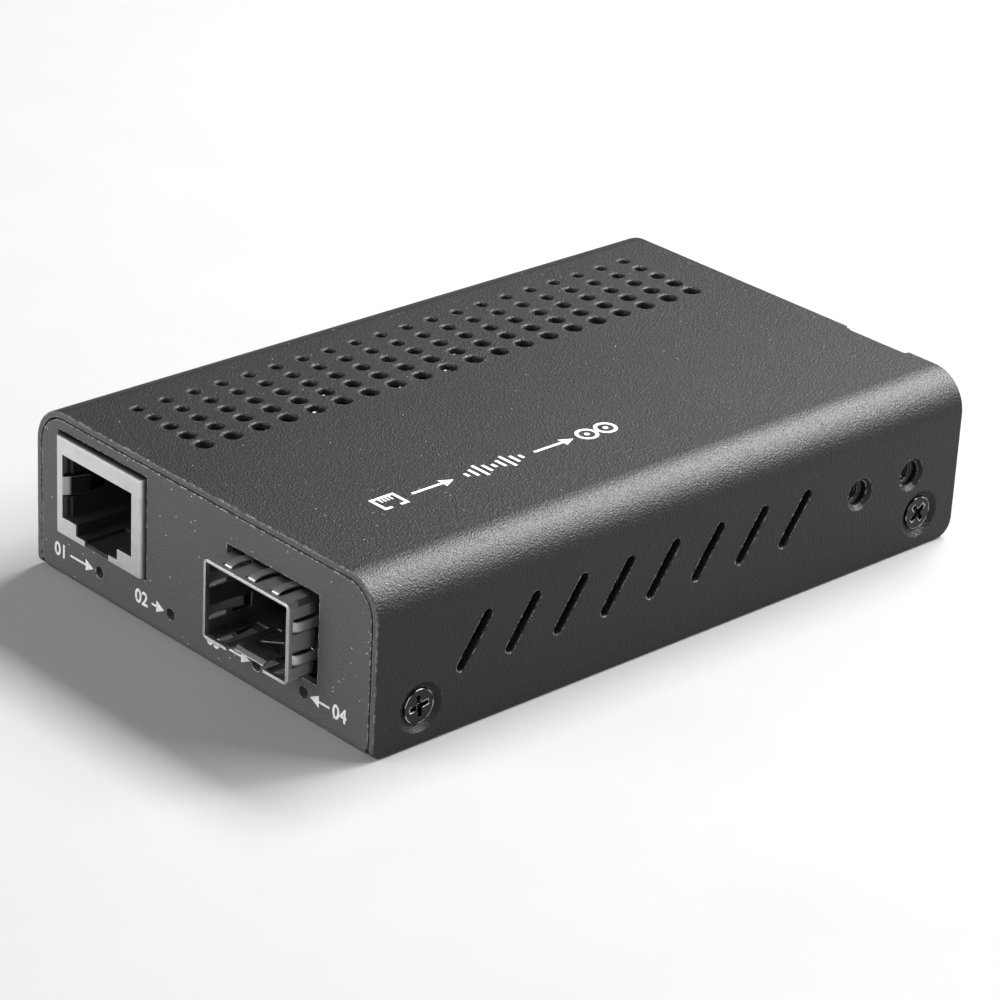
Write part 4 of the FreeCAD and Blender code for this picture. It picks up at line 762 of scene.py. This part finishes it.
def strip(bm, start, end, columns, reach, round_corners):
    """One strip of the collar between two distances, from its front edge back to its own reach."""
    ys = [FINGER_ROOT * n / BAND_ROWS for n in range(BAND_ROWS + 1)]
    grid = []
    for column in range(columns + 1):
        distance = start + (end - start) * column / columns
        x, z = skin_point(distance)
        inset = max(0.0, LAND_ROUND - min(distance - start, end - distance)) if round_corners else 0.0
        back = reach - (LAND_ROUND - math.sqrt(max(LAND_ROUND ** 2 - inset ** 2, 0.0)))
        beyond = [FINGER_ROOT + (back - FINGER_ROOT) * n / LAND_ROWS for n in range(1, LAND_ROWS + 1)]
        column_ys = ys + beyond if reach > FINGER_ROOT else ys
        grid.append([bm.verts.new((x, collar_low.y + y, z)) for y in column_ys])
    for one, two in zip(grid, grid[1:]):
        for n in range(len(one) - 1):
            bm.faces.new((one[n], two[n], two[n + 1], one[n + 1]))


def collar_band():
    """The collar's front band, lands and corners as one sheet."""
    half_slit = FINGER_WIDTH / 2 + FINGER_SLIT
    right = flat_x + quarter + flat_z
    top = 2 * right
    whole = 2 * top
    slits = [FINGER_PITCH_BELOW / 2, right - FINGER_PITCH / 2, right + FINGER_PITCH / 2, top - FINGER_PITCH]
    slits += [top] + [whole - c for c in reversed(slits)]
    corners = [flat_x, flat_x + quarter + 2 * flat_z]
    corners += [whole - c - quarter for c in reversed(corners)]
    breaks = sorted([(c - half_slit, c + half_slit, FINGER_ROOT) for c in slits]
                    + [(c, c + quarter, CORNER_LENGTH) for c in corners])
    bm = bmesh.new()
    here = FLOOR_GAP / 2
    for start, end, reach in breaks + [(whole - FLOOR_GAP / 2, None, None)]:
        if start - here > LEAST_LAND:
            strip(bm, here, start, LAND_COLUMNS, LAND_LENGTH, True)
        if end:
            strip(bm, start, end, BAND_COLUMNS, reach, False)
            here = end
    bmesh.ops.remove_doubles(bm, verts=bm.verts, dist=COLLAR_WELD)
    mesh = bpy.data.meshes.new("collar band")
    bm.to_mesh(mesh)
    return mesh


def joined(name, meshes, material):
    """Several meshes as one piece with one material."""
    bm = bmesh.new()
    for mesh in meshes:
        bm.from_mesh(mesh)
    for face in bm.faces:
        face.material_index = 0
    mesh = bpy.data.meshes.new(name)
    bm.to_mesh(mesh)
    mesh.materials.append(material)
    smooth(mesh)
    return new_piece(name, mesh)


arch_piece = arches()
collar = joined("spring_collar", [collar_band(), arch_piece.data], spring_steel)
bpy.data.objects.remove(arch_piece)
thickness = collar.modifiers.new("sheet", "SOLIDIFY")
thickness.thickness, thickness.offset = COLLAR_SHEET, 0.0
print("collar faces:", len(collar.data.polygons))


# %% [markdown]
# ## Printed marks
#
# The face is screen-printed in white. Here the print is plain: a two-figure number for each lamp, with
# an arrow to it. An image could carry the print, but it would blur close up, so each shape is a real
# plate of ink, about a hundredth of a millimetre thick, that lies on the paint. Numbers come from
# Blender's own font, and the other signs from a few outline points.

# %% Helpers for print
INK, INK_WELD = mm(0.012), mm(0.002)
NUMERAL_WEIGHT = 0.022


def outline_sign(*points):
    """Corner points of a flat shape as a sign: its points and one face."""
    return points, [tuple(range(len(points)))]


def bar(left, low, right, high):
    """A rectangle."""
    return outline_sign((left, low), (right, low), (right, high), (left, high))


def arrow(start, neck, tip, middle, stroke, wedge):
    """A line from its start to its neck, and a wedge from there to its tip."""
    left, right = sorted((start, neck))
    return [bar(left, middle - stroke / 2, right, middle + stroke / 2),
            outline_sign((neck, middle - wedge / 2), (tip, middle), (neck, middle + wedge / 2))]


def ring_sign(x, y, outer, inner, sides):
    """A ring of quads about a point."""
    points, faces = [], []
    for n in range(sides):
        angle = 2 * math.pi * n / sides
        points += [(x + r * math.cos(angle), y + r * math.sin(angle)) for r in (inner, outer)]
        after = (n + 1) % sides
        faces.append((2 * n, 2 * n + 1, 2 * after + 1, 2 * after))
    return points, faces


def number_sign(number, x, y, height):
    """A two-figure number from the built-in font, set to a height with its lower left at a point."""
    curve = bpy.data.curves.new("numeral", "FONT")
    curve.body = f"{number:02d}"
    curve.offset = NUMERAL_WEIGHT
    holder = bpy.data.objects.new("numeral", curve)
    mesh = bpy.data.meshes.new_from_object(holder)
    bpy.data.objects.remove(holder)
    left, low = (min(v.co[i] for v in mesh.vertices) for i in (0, 1))
    scale = height / (max(v.co.y for v in mesh.vertices) - low)
    points = [(x + (v.co.x - left) * scale, y + (v.co.y - low) * scale) for v in mesh.vertices]
    return points, [tuple(p.vertices) for p in mesh.polygons]


def printed(name, signs, origin, across, up):
    """Signs drawn on a plane, as thin plates of ink."""
    out = across.cross(up)
    bm = bmesh.new()
    for points, faces in signs:
        spots = [bm.verts.new(origin + across * u + up * v + out * INK) for u, v in points]
        for face in faces:
            bm.faces.new([spots[i] for i in face])
    bmesh.ops.remove_doubles(bm, verts=bm.verts, dist=INK_WELD)
    bmesh.ops.recalc_face_normals(bm, faces=bm.faces)
    tops = [f for f in bm.faces if f.normal.dot(out) < 0]
    bmesh.ops.reverse_faces(bm, faces=tops)
    sides = bmesh.ops.extrude_face_region(bm, geom=bm.faces[:], use_keep_orig=True)
    lowered = [v for v in sides["geom"] if isinstance(v, bmesh.types.BMVert)]
    bmesh.ops.translate(bm, verts=lowered, vec=-out * INK)
    bmesh.ops.recalc_face_normals(bm, faces=bm.faces)
    mesh = bpy.data.meshes.new(name)
    bm.to_mesh(mesh)
    mesh.materials.append(ink)
    print(name, "faces:", len(mesh.polygons))
    return new_piece(name, mesh)


# %% Numbers and pointers on the front
LABEL_HEIGHT, LABEL_WIDTH, LABEL_SHIFT = mm(1.8), mm(3.1), mm(0.5)
LABEL_STROKE, LABEL_WEDGE, LABEL_GAP = mm(0.28), mm(1.5), mm(1.15)
LABEL_STARTS = [mm(x) for x in (-27.1, -11.6, 1.6, 26.2)]
LAMP_Z = mm(3.65)  # the lenses sit below the middle of the lamps' bodies
lamp_boxes = [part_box(f"status_light_{n}") for n in range(1, 5)]
lamps_x = [(low.x + high.x) / 2 for low, high in lamp_boxes]


def front_signs():
    """A numeral and an arrow to each lamp; the last label stands right of its lamp."""
    signs = []
    for number, (start, lamp) in enumerate(zip(LABEL_STARTS, lamps_x), 1):
        side = 1 if lamp > start else -1
        numeral_x = start if side > 0 else start - LABEL_WIDTH + LABEL_SHIFT
        signs.append(number_sign(number, numeral_x, LAMP_Z - LABEL_HEIGHT / 2, LABEL_HEIGHT))
        tip = lamp - side * LABEL_GAP
        neck = tip - side * LABEL_WEDGE
        signs += arrow(start + side * LABEL_WIDTH, neck, tip, LAMP_Z, LABEL_STROKE, LABEL_WEDGE)
    return signs


front_print = printed("front_print", front_signs(), origin=Vector((0, front_y, 0)), across=Vector((1, 0, 0)),
                      up=Vector((0, 0, 1)))


# %% [markdown]
# ## The row of signs on top
#
# The top carries one line of print along the box. Here it shows what the box does: a signal comes in
# from a socket, passes through and leaves by two fibres. Bars, wedges and rings are enough for that,
# and each is placed by a named start along the row.

# %% The row of signs on top
ROW_START, ROW_HEIGHT, ROW_BASE = front_y + mm(12.95), mm(3.0), mm(16.6)
STROKE, WEDGE, ARROW_LENGTH = mm(0.42), mm(1.7), mm(6.2)
SOCKET_WIDTH, SOCKET_FOOT, CONTACT_LOW, CONTACT_WIDTH = mm(3.6), mm(1.2), mm(1.7), mm(0.22)
CONTACT_STARTS = [mm(x) for x in (0.95, 1.45, 1.95, 2.45)]
WAVE_START, WAVE_PITCH = mm(13.2), mm(1.05)
WAVE_HEIGHTS = (0.3, 0.6, 1.0, 0.6, 0.3, 0.6, 1.0, 0.6, 0.3)
ARROW_STARTS, FIBRE_STARTS = (mm(5.2), mm(23.8)), (mm(32.2), mm(35.2))
FIBRE_OUTER, FIBRE_INNER, FIBRE_SIDES = mm(1.45), mm(1.0), 40
CORE_OUTER, CORE_INNER, CORE_SIDES = mm(0.35), mm(0.02), 20


def socket_sign():
    """A socket's outline, open below, with four contacts."""
    right, top = SOCKET_WIDTH, ROW_HEIGHT
    signs = [bar(0, 0, STROKE, top), bar(right - STROKE, 0, right, top),
             bar(STROKE, top - STROKE, right - STROKE, top),
             bar(STROKE, 0, SOCKET_FOOT, STROKE), bar(right - SOCKET_FOOT, 0, right - STROKE, STROKE)]
    return signs + [bar(x, CONTACT_LOW, x + CONTACT_WIDTH, top - STROKE) for x in CONTACT_STARTS]


def wave_sign():
    """Bars that rise and fall about the row's middle."""
    signs = []
    for n, share in enumerate(WAVE_HEIGHTS):
        left = WAVE_START + n * WAVE_PITCH
        signs.append(bar(left, ROW_HEIGHT * (1 - share) / 2, left + STROKE, ROW_HEIGHT * (1 + share) / 2))
    return signs


def top_signs():
    """A socket, bars that rise and fall, and two fibre ends, with arrows between them."""
    middle = ROW_HEIGHT / 2
    signs = socket_sign() + wave_sign()
    for start in ARROW_STARTS:
        tip = start + ARROW_LENGTH
        signs += arrow(start, tip - WEDGE, tip, middle, STROKE, WEDGE)
    for x in FIBRE_STARTS:
        signs.append(ring_sign(x, middle, FIBRE_OUTER, FIBRE_INNER, FIBRE_SIDES))
        signs.append(ring_sign(x, middle, CORE_OUTER, CORE_INNER, CORE_SIDES))
    return signs


top_print = printed("top_print", top_signs(), origin=Vector((ROW_BASE, ROW_START, top_z)),
                    across=Vector((0, 1, 0)), up=Vector((-1, 0, 0)))

# %% [markdown]
# ## Camera
#
# A long lens keeps the box's edges nearly parallel, as in a catalogue. The camera stands to the right
# of the front, a little above, and leans very slightly.

# %% Camera
VIEW_TURN, VIEW_RISE, VIEW_LEAN = math.radians(46.23), math.radians(25.26), math.radians(3.0)
VIEW_PLACE, VIEW_LENS, VIEW_NEAR = mm(295.15, -283.72, 199.72), 135, 0.01
camera_data = bpy.data.cameras.new("camera")
camera_data.lens = VIEW_LENS
camera_data.clip_start = VIEW_NEAR
camera = bpy.data.objects.new("camera", camera_data)
aim = Matrix.Rotation(VIEW_TURN, 4, "Z") @ Matrix.Rotation(math.pi / 2 - VIEW_RISE, 4, "X")
camera.matrix_world = Matrix.Translation(VIEW_PLACE) @ aim @ Matrix.Rotation(VIEW_LEAN, 4, "Z")
bpy.context.scene.collection.objects.link(camera)
bpy.context.scene.camera = camera
print("camera, mm:", [round(v / MM) for v in VIEW_PLACE])

# %% [markdown]
# ## Floor and light
#
# The floor is a wide pale sheet. Soft light comes from four panels: two strips high behind, which roll
# a broad highlight along the right bend, a large one over the front, and a small faint one beside the
# camera for the right side. A strip shows in a bend as a long soft line, which a lamp or the sun can't
# give, so every light here is an area light.

# %% Floor and lights
FLOOR_REACH, PAPER_SCALE = 3.0, 40
LIGHT_AIM = Vector((0, 0, 0.01))
# each light's place, width, height and power in watts
LIGHTS = {"back strip": ((0, 0.5, 0.62), 0.5, 0.2, 18), "right strip": ((0.38, 0.5, 0.5), 0.5, 0.2, 10),
          "front panel": ((-0.3, -0.8, 0.4), 0.8, 0.6, 11), "near panel": ((0.5, -0.6, 0.4), 0.3, 0.3, 1.8)}


def floor_sheet():
    """A wide pale floor under the box."""
    mesh = bpy.data.meshes.new("floor")
    corners = [(x * FLOOR_REACH, y * FLOOR_REACH, 0) for x, y in ((-1, -1), (1, -1), (1, 1), (-1, 1))]
    mesh.from_pydata(corners, [], [(0, 1, 2, 3)])
    paper, tree, shader, place = finish("paper", roughness=0.9, colour=(0.25, 0.25, 0.25))
    cloud = noise(tree, place, PAPER_SCALE, 4.0)
    feed(tree, shader, blend(tree, cloud, (0.24, 0.24, 0.24), (0.26, 0.26, 0.26)))
    mesh.materials.append(paper)
    return new_piece("floor", mesh)


def panel_light(name, place, width, height, power):
    """A soft rectangular light, turned to face the box."""
    data = bpy.data.lights.new(name, "AREA")
    data.shape = "RECTANGLE"
    data.size, data.size_y, data.energy = width, height, power
    light = bpy.data.objects.new(name, data)
    light.location = place
    light.rotation_euler = (LIGHT_AIM - Vector(place)).to_track_quat("-Z", "Y").to_euler()
    bpy.context.scene.collection.objects.link(light)


floor = floor_sheet()
for name, settings in LIGHTS.items():
    panel_light(name, *settings)
print("lights:", len(LIGHTS))

world = bpy.data.worlds.new("studio")
world.use_nodes = True
backdrop = world.node_tree.nodes["Background"]
backdrop.inputs["Color"].default_value = (0.9, 0.9, 0.9, 1)
backdrop.inputs["Strength"].default_value = 0.22
bpy.context.scene.world = world
bpy.context.scene.view_settings.view_transform = "Standard"

# %% [markdown]
# ## Riding on the box's body
#
# Every new piece rides on the box's one body.

ridden = {"cover_paint": [rims] + slot_lips + [top_print], "tray_paint": [threads, front_print],
          "stainless_steel": [collar]}
for slot_name, pieces in ridden.items():
    for piece in pieces:
        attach(piece, "root")
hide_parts("sfp_collar")
